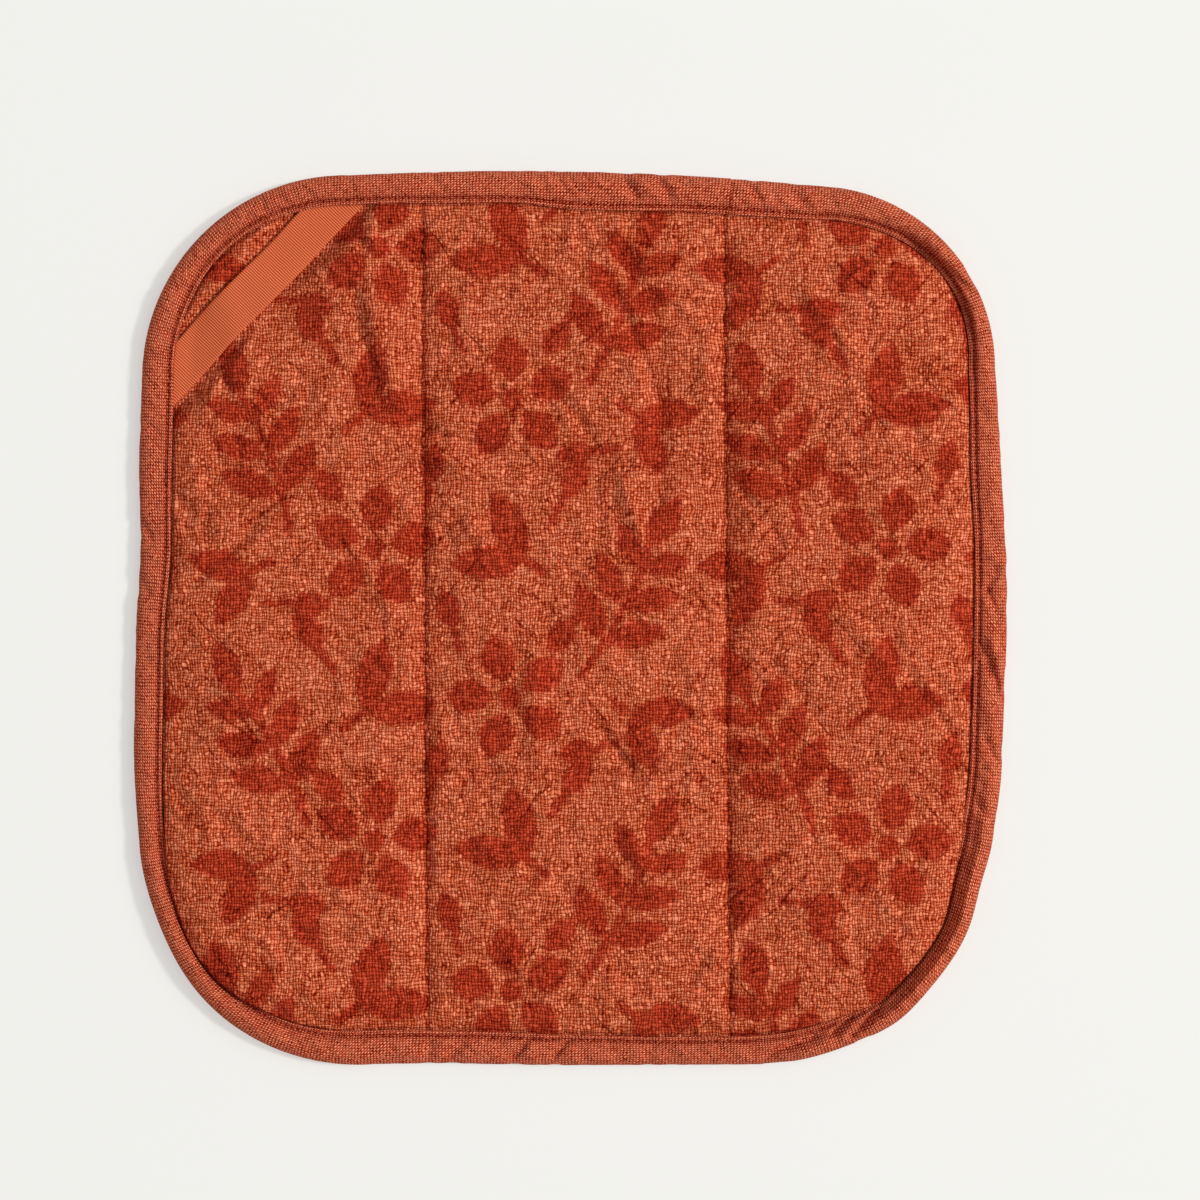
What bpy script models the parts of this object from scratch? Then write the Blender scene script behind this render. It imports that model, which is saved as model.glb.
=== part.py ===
"""A quilted pot holder: a filled linen square with round corners, edged with bias tape, and a hanging loop.

It lies face up with its underside on z = 0 and the middle of its outline on the origin. +X is the right
of the face, +Y its far side, and the loop crosses the -X +Y corner. All sizes are in metres.
"""

from dataclasses import dataclass

import bmesh
import bpy
import numpy as np


@dataclass(frozen=True)
class CornerDisc:
    """A round corner. A belt round the four discs is the outline, and side_bow swells the side after it."""

    x: float
    y: float
    radius: float
    side_bow: float


@dataclass(frozen=True)
class Wobble:
    """A soft bulge (or dent, below zero) of the outline, at an angle from +X about the centre."""

    angle_deg: float
    spread_deg: float
    height: float


@dataclass(frozen=True)
class CornerRoll:
    """Where the binding's outer half rolls up by lift, and the filling swells against it, by 0 to 1."""

    angle_deg: float
    spread_deg: float
    lift: float
    swell: float


# The outline, counterclockwise from the far right corner
CORNERS = (
    CornerDisc(x=0.0570, y=0.0590, radius=0.0430, side_bow=0.0021),
    CornerDisc(x=-0.0530, y=0.0565, radius=0.0480, side_bow=0.0011),
    CornerDisc(x=-0.0490, y=-0.0525, radius=0.0530, side_bow=0.0),
    CornerDisc(x=0.0430, y=-0.0485, radius=0.0565, side_bow=0.0031),
)
WOBBLES = (
    Wobble(angle_deg=18, spread_deg=8, height=-0.0006),
    Wobble(angle_deg=171, spread_deg=8, height=-0.0010),
    Wobble(angle_deg=198, spread_deg=6, height=0.0005),
    Wobble(angle_deg=216, spread_deg=8, height=-0.0013),
    Wobble(angle_deg=252, spread_deg=11, height=-0.0007),
    Wobble(angle_deg=309, spread_deg=4, height=0.0009),
    Wobble(angle_deg=327, spread_deg=4, height=-0.0012),
    Wobble(angle_deg=339, spread_deg=6, height=0.0007),
)
OUTLINE_POINTS = 720
RUN_POINTS = 60
ARC_POINTS = 60

# Corners where the edge is rolled: far right, near left and near right
ROLLS = (
    CornerRoll(angle_deg=44, spread_deg=10, lift=0.0022, swell=0.2),
    CornerRoll(angle_deg=224, spread_deg=14, lift=0.0014, swell=1.0),
    CornerRoll(angle_deg=319, spread_deg=15, lift=0.0016, swell=1.0),
)

GAP = 0.0003  # between neighbouring pieces

# Binding: a folded strip whose two flaps hold the pad's edge between them
STRIP_THICK = 0.0010
BOUND_THICK = 0.0050  # over both flaps and the pad's edge
FLAP_WIDTH = 0.0081
FLAP_LEFT_EXTRA = 0.0009
FLAP_NEAR_LESS = 0.0006
CREASE_AT = 0.62  # shares of the flap's width, from the outline: inside the crease the flap is flat
CREST_AT = 0.33
SHOULDER_AT = 0.12
SHOULDER_DROP = 0.0008
SHOULDER_LIFT = 0.8  # shares of a corner's roll that the shoulder and the fold take
FOLD_LIFT = 0.4
FOLD_THICK = 0.0011
BINDING_STATIONS = 112

# Pad: its edge, its crown and the sewn channels of three by three cells
RIM_INSET = 0.0028
RIM_BULGE = 0.0004
RIM_BOTTOM = STRIP_THICK + GAP
RIM_TOP = BOUND_THICK - STRIP_THICK - GAP
PAD_TOP = 0.0076
RISE_LENGTH = 0.0060
SWELL_SHARPENS = 0.65
UNDER_FALL = 0.0050
SEAMS_X = (-0.0343, 0.0368)
SEAMS_Y = (-0.0361, 0.0356)
SEAM_DEPTH_X = 0.0022
SEAM_DEPTH_Y = 0.0013
SEAM_SPREAD = 0.0045
GROOVE_DEPTH_X = 0.0009
GROOVE_DEPTH_Y = 0.0006
GROOVE_HALF_WIDTH = 0.0050
STEPS_X = (16, 11, 11)  # the grid's steps in each cell, more of them on the loop's side
STEPS_Y = (11, 11, 16)
CLUSTERING = 0.09  # how strongly the grid's lines crowd towards seams and edge
RIM_LINE = 1.1
TINY = 1e-9  # keeps the middle point from a division by zero

# Hanging loop: a tape laid across the corner, its two ends tucked between pad and top flap
# Places along it are measured from LOOP_START, where its middle thread comes out, towards LOOP_END
LOOP_START = np.array((-0.0928, 0.0590))
LOOP_END = np.array((-0.0572, 0.0967))
LOOP_WIDTH = 0.0101
LOOP_THICK = 0.0010
TAPE_FROM, TAPE_TO = -0.0072, 0.0575  # its cut ends, on the middle thread
TAPE_SLANT = 0.0049  # the ends are cut slantwise: the corner's side is this much shorter than the middle
ARCH_FROM, ARCH_TO = 0.0032, 0.0481  # where the middle thread leaves the pad, clear of the flap
ARCH_SLANT = 0.0069
LOOP_LOW = BOUND_THICK - STRIP_THICK - GAP - LOOP_THICK  # underside where it is tucked
LOOP_HIGH = 0.0095  # underside at the middle of the arch
ARCH_SLOPED = 0.72  # share of each half of the arch that slopes
LOOP_ALONG = 20
LOOP_ACROSS = 4
LOOP_FOOT = LOOP_WIDTH / 2 + 0.0035  # half width of the strip of pad that stays under the tape
LOOP_FOLLOW = 0.55  # share of the arch's rise that the pad below it takes
LOOP_BANK = 1.2  # slope of the pad beside that strip
HOLLOW_FLOOR = 0.0046  # the pad sinks under the arch, so a hook can pass
HOLLOW_RADIUS = 0.0085
HOLLOW_SHIFT = 0.0015  # towards the pad's middle
HOLLOW_BANK = 0.35

# Colours, as display values from 0 to 1
LINEN_COLOUR = (0.667, 0.294, 0.180)
BINDING_COLOUR = (0.680, 0.310, 0.214)
TAPE_COLOUR = (0.765, 0.337, 0.190)


def soft_step(value):
    """0 below 0, 1 above 1, and 3v^2 - 2v^3 between."""
    value = np.clip(value, 0.0, 1.0)
    return value * value * (3.0 - 2.0 * value)


def angle_bump(angle, at_deg, spread_deg):
    """A bell over the angle from +X, 1 at at_deg and falling as exp(-(difference / spread)^2)."""
    away = (np.degrees(angle) - at_deg + 180.0) % 360.0 - 180.0
    return np.exp(-((away / spread_deg) ** 2))


def belt_points():
    """The belt round the corner discs: for each side a bowed run, then the arc round the next disc."""
    pieces = []
    for index, disc in enumerate(CORNERS):
        after = CORNERS[(index + 1) % len(CORNERS)]
        last = CORNERS[(index + 2) % len(CORNERS)]
        outward = side_normal(disc, after)
        run = np.linspace(0.0, 1.0, RUN_POINTS, endpoint=False)[:, None]
        start = centre_of(disc) + outward * disc.radius
        end = centre_of(after) + outward * after.radius
        bow = 4.0 * run * (1.0 - run) * disc.side_bow
        pieces.append(start + (end - start) * run + outward * bow)
        turn_from = np.arctan2(outward[1], outward[0])
        next_outward = side_normal(after, last)
        turn = (np.arctan2(next_outward[1], next_outward[0]) - turn_from) % (2.0 * np.pi)
        angles = turn_from + turn * np.linspace(0.0, 1.0, ARC_POINTS, endpoint=False)
        arc = np.stack([np.cos(angles), np.sin(angles)], axis=1)
        pieces.append(centre_of(after) + after.radius * arc)
    return np.concatenate(pieces)


def centre_of(disc):
    return np.array((disc.x, disc.y))


def side_normal(disc, after):
    """Outward normal of the belt's straight run between two discs, which leans where their radii differ."""
    along = centre_of(after) - centre_of(disc)
    length = np.linalg.norm(along)
    along = along / length
    lean = (disc.radius - after.radius) / length
    square = np.array((along[1], -along[0]))
    return square * np.sqrt(1.0 - lean * lean) + along * lean


def polar_radius(points, angle):
    """Distance from the origin to a closed outline, in the direction of each angle."""
    own_angle = np.arctan2(points[:, 1], points[:, 0]) % (2.0 * np.pi)
    order = np.argsort(own_angle)
    radius = np.linalg.norm(points, axis=1)[order]
    return np.interp(angle % (2.0 * np.pi), own_angle[order], radius, period=2.0 * np.pi)


def outline_points():
    """The binding's outer edge, counterclockwise: the belt and its wobbles, centred on the origin."""
    angle = np.linspace(0.0, 2.0 * np.pi, OUTLINE_POINTS, endpoint=False)
    radius = polar_radius(belt_points(), angle)
    for wobble in WOBBLES:
        radius = radius + wobble.height * angle_bump(angle, wobble.angle_deg, wobble.spread_deg)
    points = np.stack([radius * np.cos(angle), radius * np.sin(angle)], axis=1)
    return points - (points.min(axis=0) + points.max(axis=0)) / 2.0


def even_points(points, count):
    """Points an even way apart along a closed outline."""
    closed = np.concatenate([points, points[:1]])
    way = np.concatenate([[0.0], np.cumsum(np.linalg.norm(np.diff(closed, axis=0), axis=1))])
    stops = np.linspace(0.0, way[-1], count, endpoint=False)
    return np.stack([np.interp(stops, way, closed[:, axis]) for axis in (0, 1)], axis=1)


def inward_normals(points):
    """Unit normals that point into a closed counterclockwise outline."""
    along = np.roll(points, -1, axis=0) - np.roll(points, 1, axis=0)
    along = along / np.linalg.norm(along, axis=1, keepdims=True)
    return np.stack([-along[:, 1], along[:, 0]], axis=1)


def flap_width(angle):
    """The flaps are a little wider on the left side and narrower on the near side."""
    leftness = np.clip(-np.cos(angle), 0.0, 1.0) ** 2
    nearness = np.clip(-np.sin(angle), 0.0, 1.0) ** 2
    return FLAP_WIDTH + FLAP_LEFT_EXTRA * leftness - FLAP_NEAR_LESS * nearness


def roll_lift(angle):
    return sum(roll.lift * angle_bump(angle, roll.angle_deg, roll.spread_deg) for roll in ROLLS)


def swell(angle):
    return sum(roll.swell * angle_bump(angle, roll.angle_deg, roll.spread_deg) for roll in ROLLS)


OUTLINE = outline_points()


def edge_distance(x, y):
    """Distance from each point to the outline."""
    from_outline = np.stack([x, y], axis=-1)[..., None, :] - OUTLINE
    return np.sqrt((from_outline**2).sum(axis=-1).min(axis=-1))


def loop_frame():
    """The tape's direction, and the normal towards the corner."""
    along = (LOOP_END - LOOP_START) / np.linalg.norm(LOOP_END - LOOP_START)
    return along, np.array((-along[1], along[0]))


def loop_underside(station, across):
    """Height of the tape's underside: low where it is tucked, with a soft slope up to a flat-topped arch.

    Each thread has its own arch, from its place -1 to 1, and the arches are shorter towards the corner.
    """
    side = np.clip(across / (LOOP_WIDTH / 2), -1.0, 1.0)
    start = ARCH_FROM + side * ARCH_SLANT
    end = ARCH_TO - side * ARCH_SLANT
    place = np.abs(2.0 * station - start - end) / (end - start)
    return LOOP_LOW + (LOOP_HIGH - LOOP_LOW) * soft_step((1.0 - place) / ARCH_SLOPED)


def under_loop_limit(x, y):
    """The most the pad may rise: a strip that stays below the tape, and a round hollow under its arch."""
    along, outward = loop_frame()
    from_start = np.stack([x, y], axis=-1) - LOOP_START
    station = from_start @ along
    across = from_start @ outward
    beside = np.clip(np.abs(across) - LOOP_FOOT, 0.0, None)
    arch = LOOP_FOLLOW * (loop_underside(station, across) - LOOP_LOW)
    strip = LOOP_LOW - GAP + arch + LOOP_BANK * beside
    away = np.hypot(station - (ARCH_FROM + ARCH_TO) / 2.0, across + HOLLOW_SHIFT)
    hollow = HOLLOW_FLOOR + HOLLOW_BANK * np.clip(away - HOLLOW_RADIUS, 0.0, None)
    return np.minimum(strip, hollow)


def pad_top(x, y):
    """Height of the face: it rises from the edge by 1 - exp(-distance / length), less the channels."""
    angle = np.arctan2(y, x)
    inside = np.clip(edge_distance(x, y) - flap_width(angle) - GAP, 0.0, None)
    rise_length = RISE_LENGTH * (1.0 - SWELL_SHARPENS * np.clip(swell(angle), 0.0, 1.0))
    rise = 1.0 - np.exp(-inside / rise_length)
    channels = sum(SEAM_DEPTH_X * np.exp(-np.abs(x - seam) / SEAM_SPREAD) for seam in SEAMS_X)
    channels = channels + sum(SEAM_DEPTH_Y * np.exp(-np.abs(y - seam) / SEAM_SPREAD) for seam in SEAMS_Y)
    height = RIM_TOP + rise * (PAD_TOP - RIM_TOP - channels)
    return np.minimum(height, under_loop_limit(x, y))


def pad_underside(x, y):
    """Height of the back: flat on z = 0 in the cells, up in shallow grooves and over the lower flap."""
    inside = edge_distance(x, y) - flap_width(np.arctan2(y, x)) - GAP
    in_flap = 1.0 - soft_step(inside / UNDER_FALL)
    grooves = sum(GROOVE_DEPTH_X * groove_shape(x - seam) for seam in SEAMS_X)
    grooves = grooves + sum(GROOVE_DEPTH_Y * groove_shape(y - seam) for seam in SEAMS_Y)
    return RIM_BOTTOM * in_flap + grooves * (1.0 - in_flap)


def groove_shape(away):
    """(1 - distance / half width)^2, and 0 past the half width."""
    return np.clip(1.0 - np.abs(away) / GROOVE_HALF_WIDTH, 0.0, None) ** 2


def grid_lines(half_size, seams, steps):
    """Places of the grid's lines, -1 and 1 at the flap's edge: one on each seam, the rest crowding there.

    The first and the last line, past -1 and 1, are the pad's rim.
    """
    stops = (-half_size, *seams, half_size)
    cells = [low + (high - low) * crowded(count) for low, high, count in zip(stops, stops[1:], steps)]
    return np.concatenate([[-RIM_LINE], np.concatenate(cells) / half_size, [1.0, RIM_LINE]])


def crowded(count):
    """Steps from 0 up to, but without, 1 that are closer together at both ends."""
    step = np.arange(count) / count
    return step - CLUSTERING * np.sin(2.0 * np.pi * step)


def pad_grid(rim_inset):
    """x and y of a square grid drawn out to the flap's inner edge, and one more ring, the pad's rim.

    The further a point is from the middle, the more it takes the outline's shape. The rim lies
    rim_inset inside the outline.
    """
    inward = inward_normals(OUTLINE)
    rim = OUTLINE + inward * rim_inset
    flap = flap_width(np.arctan2(OUTLINE[:, 1], OUTLINE[:, 0]))
    edge = OUTLINE + inward * (flap + GAP)[:, None]
    half_x, half_y = np.abs(edge).max(axis=0)
    lines_x = grid_lines(half_x, SEAMS_X, STEPS_X)
    lines_y = grid_lines(half_y, SEAMS_Y, STEPS_Y)
    u, v = np.meshgrid(lines_x, lines_y, indexing="ij")
    angle = np.arctan2(v * half_y, u * half_x)
    square = np.maximum(np.abs(u), np.abs(v))
    within = np.minimum(square, 1.0)
    to_box = np.hypot(u * half_x, v * half_y) / np.maximum(square, TINY)
    to_edge = polar_radius(edge, angle)
    radius = within * (to_box + (to_edge - to_box) * within**2)
    radius = np.where(square > 1.0, polar_radius(rim, angle), radius)
    return radius * np.cos(angle), radius * np.sin(angle)


def add_grid(mesh, x, y, z, facing_up):
    """One sheet of quads through a grid of points, and the ring of its edge vertices, counterclockwise."""
    rows, columns = x.shape
    corners = [
        [mesh.verts.new((x[i, j], y[i, j], z[i, j])) for j in range(columns)] for i in range(rows)
    ]
    for i in range(rows - 1):
        for j in range(columns - 1):
            quad = [corners[i][j], corners[i + 1][j], corners[i + 1][j + 1], corners[i][j + 1]]
            mesh.faces.new(quad if facing_up else quad[::-1])
    near = [corners[i][0] for i in range(rows - 1)]
    right = [corners[-1][j] for j in range(columns - 1)]
    far = [corners[i][-1] for i in range(rows - 1, 0, -1)]
    left = [corners[0][j] for j in range(columns - 1, 0, -1)]
    return near + right + far + left


def join_rings(mesh, lower, upper):
    """A band of quads between two counterclockwise rings, facing out."""
    for index, vertex in enumerate(lower):
        after = (index + 1) % len(lower)
        mesh.faces.new((vertex, lower[after], upper[after], upper[index]))


def linear_colour(display):
    """A display colour as the linear values that a shader takes."""
    return tuple(c / 12.92 if c <= 0.04045 else ((c + 0.055) / 1.055) ** 2.4 for c in display)


def cloth_material(name, display_colour, roughness):
    material = bpy.data.materials.new(name)
    material.use_nodes = True
    shader = material.node_tree.nodes["Principled BSDF"]
    shader.inputs["Base Color"].default_value = (*linear_colour(display_colour), 1.0)
    shader.inputs["Roughness"].default_value = roughness
    shader.inputs["Metallic"].default_value = 0.0
    return material


def new_object(name, mesh, material):
    """An object from a bmesh, shaded smooth, which frees the bmesh."""
    data = bpy.data.meshes.new(name)
    mesh.to_mesh(data)
    mesh.free()
    data.shade_smooth()
    data.materials.append(material)
    shape = bpy.data.objects.new(name, data)
    bpy.context.scene.collection.objects.link(shape)
    return shape


def build_pad():
    """The filled and quilted square: face, back and a rounded edge between them, as one closed solid."""
    x, y = pad_grid(RIM_INSET)
    mesh = bmesh.new()
    top_ring = add_grid(mesh, x, y, pad_top(x, y), facing_up=True)
    back_ring = add_grid(mesh, x, y, pad_underside(x, y), facing_up=False)
    out_x, out_y = pad_grid(RIM_INSET - RIM_BULGE)
    middle = 0.5 * (pad_top(x, y) + pad_underside(x, y))
    edge = ring_of(out_x), ring_of(out_y), ring_of(middle)
    edge_ring = [mesh.verts.new(point) for point in zip(*edge)]
    join_rings(mesh, back_ring, edge_ring)
    join_rings(mesh, edge_ring, top_ring)
    return new_object("quilted_pad", mesh, cloth_material("block_printed_linen", LINEN_COLOUR, 0.92))


def ring_of(grid):
    """The values at a grid's edge, in the order of add_grid's ring."""
    return np.concatenate([grid[:-1, 0], grid[-1, :-1], grid[:0:-1, -1], grid[0, :0:-1]])


def binding_profile(width, lift):
    """The folded strip's section, as (distance in from the outline, height).

    It runs over the top flap, round the fold and under, and back along the inner side.
    """
    crease, crest, shoulder = CREASE_AT * width, CREST_AT * width, SHOULDER_AT * width
    fold_height = BOUND_THICK / 2.0 + FOLD_LIFT * lift
    ceiling = BOUND_THICK - STRIP_THICK
    return (
        (width, BOUND_THICK),
        (crease, BOUND_THICK),
        (crest, BOUND_THICK + lift),
        (shoulder, BOUND_THICK - SHOULDER_DROP + SHOULDER_LIFT * lift),
        (0.0, fold_height),
        (shoulder, SHOULDER_DROP),
        (crest, 0.0),
        (width, 0.0),
        (width, STRIP_THICK),
        (crest, STRIP_THICK),
        (FOLD_THICK, fold_height),
        (crest, ceiling + lift),
        (crease, ceiling),
        (width, ceiling),
    )


def build_binding():
    """The bias strip: its folded section carried once round the outline."""
    path = even_points(OUTLINE, BINDING_STATIONS)
    inward = inward_normals(path)
    mesh = bmesh.new()
    rings = []
    for point, normal in zip(path, inward):
        angle = np.arctan2(point[1], point[0])
        profile = binding_profile(flap_width(angle), roll_lift(angle))
        rings.append([mesh.verts.new((*(point + normal * depth), height)) for depth, height in profile])
    for index, ring in enumerate(rings):
        join_rings(mesh, ring, rings[(index + 1) % len(rings)])
    bmesh.ops.recalc_face_normals(mesh, faces=mesh.faces)
    return new_object("edge_binding", mesh, cloth_material("bias_tape", BINDING_COLOUR, 0.9))


def build_loop():
    """The tape: a sheet on the arch's underside, its ends cut slantwise, given its thickness."""
    along, outward = loop_frame()
    side = np.linspace(-1.0, 1.0, LOOP_ACROSS + 1)[None, :]
    share = np.linspace(0.0, 1.0, LOOP_ALONG + 1)[:, None]
    start = TAPE_FROM + side * TAPE_SLANT
    end = TAPE_TO - side * TAPE_SLANT
    station = start + (end - start) * share
    across = np.broadcast_to(side * LOOP_WIDTH / 2, station.shape)
    x = LOOP_START[0] + along[0] * station + outward[0] * across
    y = LOOP_START[1] + along[1] * station + outward[1] * across
    mesh = bmesh.new()
    add_grid(mesh, x, y, loop_underside(station, across), facing_up=True)
    loop = new_object("hanging_loop", mesh, cloth_material("loop_tape", TAPE_COLOUR, 0.75))
    thicken = loop.modifiers.new("thickness", "SOLIDIFY")
    thicken.thickness = LOOP_THICK
    thicken.offset = 1.0
    return loop


def main():
    for old in list(bpy.data.objects):
        bpy.data.objects.remove(old)
    build_pad()
    build_binding()
    build_loop()


main()
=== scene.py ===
"""The looks of a quilted linen pot holder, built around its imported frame.

A printed linen face over a soft filling is quilted three by three. A bias strip binds the edge, and a
tape crosses the -X +Y corner as a hanging loop. Sizes are in metres and +Z is up. The pot holder lies
face up on a pale floor, and the camera looks straight down on it.
"""

import logging
from dataclasses import dataclass
from enum import Enum
from functools import cached_property

import bpy
import numpy as np
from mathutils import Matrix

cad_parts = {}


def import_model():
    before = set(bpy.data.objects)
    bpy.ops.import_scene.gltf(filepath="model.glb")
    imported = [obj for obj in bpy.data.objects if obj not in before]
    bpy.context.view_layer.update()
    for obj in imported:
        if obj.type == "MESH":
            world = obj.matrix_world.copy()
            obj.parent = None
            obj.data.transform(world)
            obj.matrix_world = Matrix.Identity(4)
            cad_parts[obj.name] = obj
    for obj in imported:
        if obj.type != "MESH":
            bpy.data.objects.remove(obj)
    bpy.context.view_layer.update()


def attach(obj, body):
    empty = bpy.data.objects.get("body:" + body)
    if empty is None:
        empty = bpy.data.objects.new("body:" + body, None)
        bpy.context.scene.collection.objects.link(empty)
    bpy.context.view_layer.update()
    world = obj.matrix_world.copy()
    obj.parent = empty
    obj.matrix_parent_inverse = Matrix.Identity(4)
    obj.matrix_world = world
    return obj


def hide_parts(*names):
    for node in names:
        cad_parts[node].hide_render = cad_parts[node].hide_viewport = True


Array = np.ndarray
Colour = tuple[float, float, float]

LOG = logging.getLogger("pot_holder")
BODY = "root"
FULL_TURN = 2.0 * np.pi
TINY = 1e-9  # keeps a division by zero away


def soft_step(value: Array) -> Array:
    """Rise smoothly from 0 to 1, as 3v^2 - 2v^3.

    Args:
        value: Places, of which 0 is the step's start and 1 its end.

    Returns:
        0 below the start, 1 above the end and the curve between.
    """
    value = np.clip(value, 0.0, 1.0)
    return value * value * (3.0 - 2.0 * value)


def bell(away: Array, spread: float) -> Array:
    """Return exp(-(away / spread)^2), which is 1 at 0 and falls off on both sides."""
    return np.exp(-((away / spread) ** 2))


def soft_least(first: Array, second: Array, blend: float) -> Array:
    """Return the lesser of two heights, rounded where they cross.

    Args:
        first: Heights.
        second: Heights to compare with them.
        blend: Height over which one passes into the other.

    Returns:
        -blend * ln(exp(-first / blend) + exp(-second / blend)), which is below both.
    """
    least = np.minimum(first, second)
    return least - blend * np.log(np.exp(-(first - least) / blend) + np.exp(-(second - least) / blend))


def linear_colour(display: Colour) -> tuple[float, float, float, float]:
    """Return a display colour as the linear values, with full alpha, that a shader takes."""
    linear = [c / 12.92 if c <= 0.04045 else ((c + 0.055) / 1.055) ** 2.4 for c in display]
    return (*linear, 1.0)


class Unevenness:
    """Smooth random numbers from about -1 to 1 over a plane, the same on each run."""

    SIZE = 64
    GAIN = 1.5  # brings the greatest values to about 1

    def __init__(self, seed: int) -> None:
        """Draw a unit slope for each crossing of a square lattice.

        Args:
            seed: Start of the random draw.
        """
        turn = np.random.default_rng(seed).uniform(0.0, FULL_TURN, (self.SIZE, self.SIZE))
        self.slope_u, self.slope_v = np.cos(turn), np.sin(turn)

    def at(self, u: Array, v: Array) -> Array:
        """Blend the slopes of the four crossings round each place.

        Each crossing gives its slope times the way from it, and the weights are 6t^5 - 15t^4 + 10t^3.

        Args:
            u: Places along the lattice's first direction, in lattice steps.
            v: Places along its second direction.

        Returns:
            The unevenness at each place.
        """
        u, v = np.broadcast_arrays(u, v)
        column, row = np.floor(u).astype(int), np.floor(v).astype(int)
        du, dv = u - column, v - row
        ease_u = du**3 * (du * (du * 6.0 - 15.0) + 10.0)
        ease_v = dv**3 * (dv * (dv * 6.0 - 15.0) + 10.0)
        near_left, near_right = self._pull(column, row, du, dv), self._pull(column + 1, row, du - 1.0, dv)
        far_left = self._pull(column, row + 1, du, dv - 1.0)
        far_right = self._pull(column + 1, row + 1, du - 1.0, dv - 1.0)
        near = near_left * (1.0 - ease_u) + near_right * ease_u
        far = far_left * (1.0 - ease_u) + far_right * ease_u
        return self.GAIN * (near * (1.0 - ease_v) + far * ease_v)

    def _pull(self, column: Array, row: Array, du: Array, dv: Array) -> Array:
        """Return a crossing's slope times the way (du, dv) from it."""
        place = column % self.SIZE, row % self.SIZE
        return self.slope_u[place] * du + self.slope_v[place] * dv


@dataclass(frozen=True)
class Fold:
    """A ridge, or a trough where height is below zero, along a bowed line on the cloth."""

    start_x: float
    start_y: float
    end_x: float
    end_y: float
    height: float
    half_width: float
    bow: float = 0.0
    lean: float = 0.0  # the flank on the left, seen from start to end, is narrower by this share
    end_share: float = 0.3  # share of the length over which each end fades

    def at(self, x: Array, y: Array) -> Array:
        """Work out the fold's height.

        It is height * exp(-(distance / half width)^2), faded to 0 over the line's two ends.

        Args:
            x: Places on the cloth.
            y: Places on the cloth.

        Returns:
            What the fold adds to the cloth's height.
        """
        way = np.array((self.end_x - self.start_x, self.end_y - self.start_y))
        length = np.hypot(*way)
        along = way / length
        share = ((x - self.start_x) * along[0] + (y - self.start_y) * along[1]) / length
        across = (y - self.start_y) * along[0] - (x - self.start_x) * along[1]
        across = across - self.bow * 4.0 * share * (1.0 - share)
        width = self.half_width * (1.0 - self.lean * np.sign(across))
        ends = soft_step((0.5 - np.abs(share - 0.5)) / self.end_share)
        return self.height * ends * np.exp(-((across / width) ** 2))


def folds_at(folds: tuple[Fold, ...], x: Array, y: Array) -> Array:
    """Return the heights of all the folds together at each place."""
    return sum((fold.at(x, y) for fold in folds), np.zeros(np.shape(x)))


# Meshes


@dataclass(frozen=True)
class Skin:
    """The points of one piece and its faces, grouped by their number of corners.

    uv gives the cut cloth's coordinates at each corner of each face, for each group.
    """

    points: Array
    faces: list[Array]
    uv: list[Array] | None = None

    def volume(self) -> float:
        """Return the volume inside, below zero if the faces point inwards."""
        total = 0.0
        for group in self.faces:
            for corner in range(1, group.shape[1] - 1):
                ends = (self.points[group[:, place]] for place in (0, corner, corner + 1))
                total += np.linalg.det(np.stack(list(ends), axis=1)).sum() / 6.0
        return total

    def outward(self) -> "Skin":
        """Return the same skin with its faces pointing out."""
        if self.volume() >= 0.0:
            return self
        faces = [group[:, ::-1] for group in self.faces]
        return Skin(self.points, faces, self.uv and [group[:, ::-1] for group in self.uv])

    def to_object(self, name: str) -> bpy.types.Object:
        """Make the piece's smooth-shaded object.

        Args:
            name: Name of the object.

        Returns:
            The object, at the origin.
        """
        mesh = bpy.data.meshes.new(name)
        corners = np.concatenate([group.ravel() for group in self.faces])
        sizes = np.concatenate([np.full(len(group), group.shape[1]) for group in self.faces])
        mesh.vertices.add(len(self.points))
        mesh.vertices.foreach_set("co", self.points.astype(np.float32).ravel())
        mesh.loops.add(len(corners))
        mesh.loops.foreach_set("vertex_index", corners.astype(np.int32))
        mesh.polygons.add(len(sizes))
        mesh.polygons.foreach_set("loop_start", (np.cumsum(sizes) - sizes).astype(np.int32))
        mesh.update(calc_edges=True)
        if self.uv is not None:
            layer = mesh.uv_layers.new(name="cut")
            flat = np.concatenate([group.reshape(-1, 2) for group in self.uv])
            layer.data.foreach_set("uv", flat.astype(np.float32).ravel())
        mesh.shade_smooth()
        shape = bpy.data.objects.new(name, mesh)
        bpy.context.scene.collection.objects.link(shape)
        return shape


def quads(
    rows: int, columns: int, close_rows: bool = False, close_columns: bool = False
) -> tuple[Array, Array]:
    """List the four corners of each face of a grid.

    Args:
        rows: Number of rows of points.
        columns: Number of points in a row.
        close_rows: Whether the last row joins the first.
        close_columns: Whether the last point of a row joins its first.

    Returns:
        The corners' points, and their (row, column) places, which run past the end where a side closes.
    """
    i, j = np.meshgrid(
        np.arange(rows if close_rows else rows - 1),
        np.arange(columns if close_columns else columns - 1),
        indexing="ij",
    )
    i, j = i.ravel(), j.ravel()
    around = ((0, 0), (1, 0), (1, 1), (0, 1))
    places = np.stack([np.stack([i + di, j + dj], axis=1) for di, dj in around], axis=1)
    points = (places[..., 0] % rows) * columns + places[..., 1] % columns
    return points, places


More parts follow.
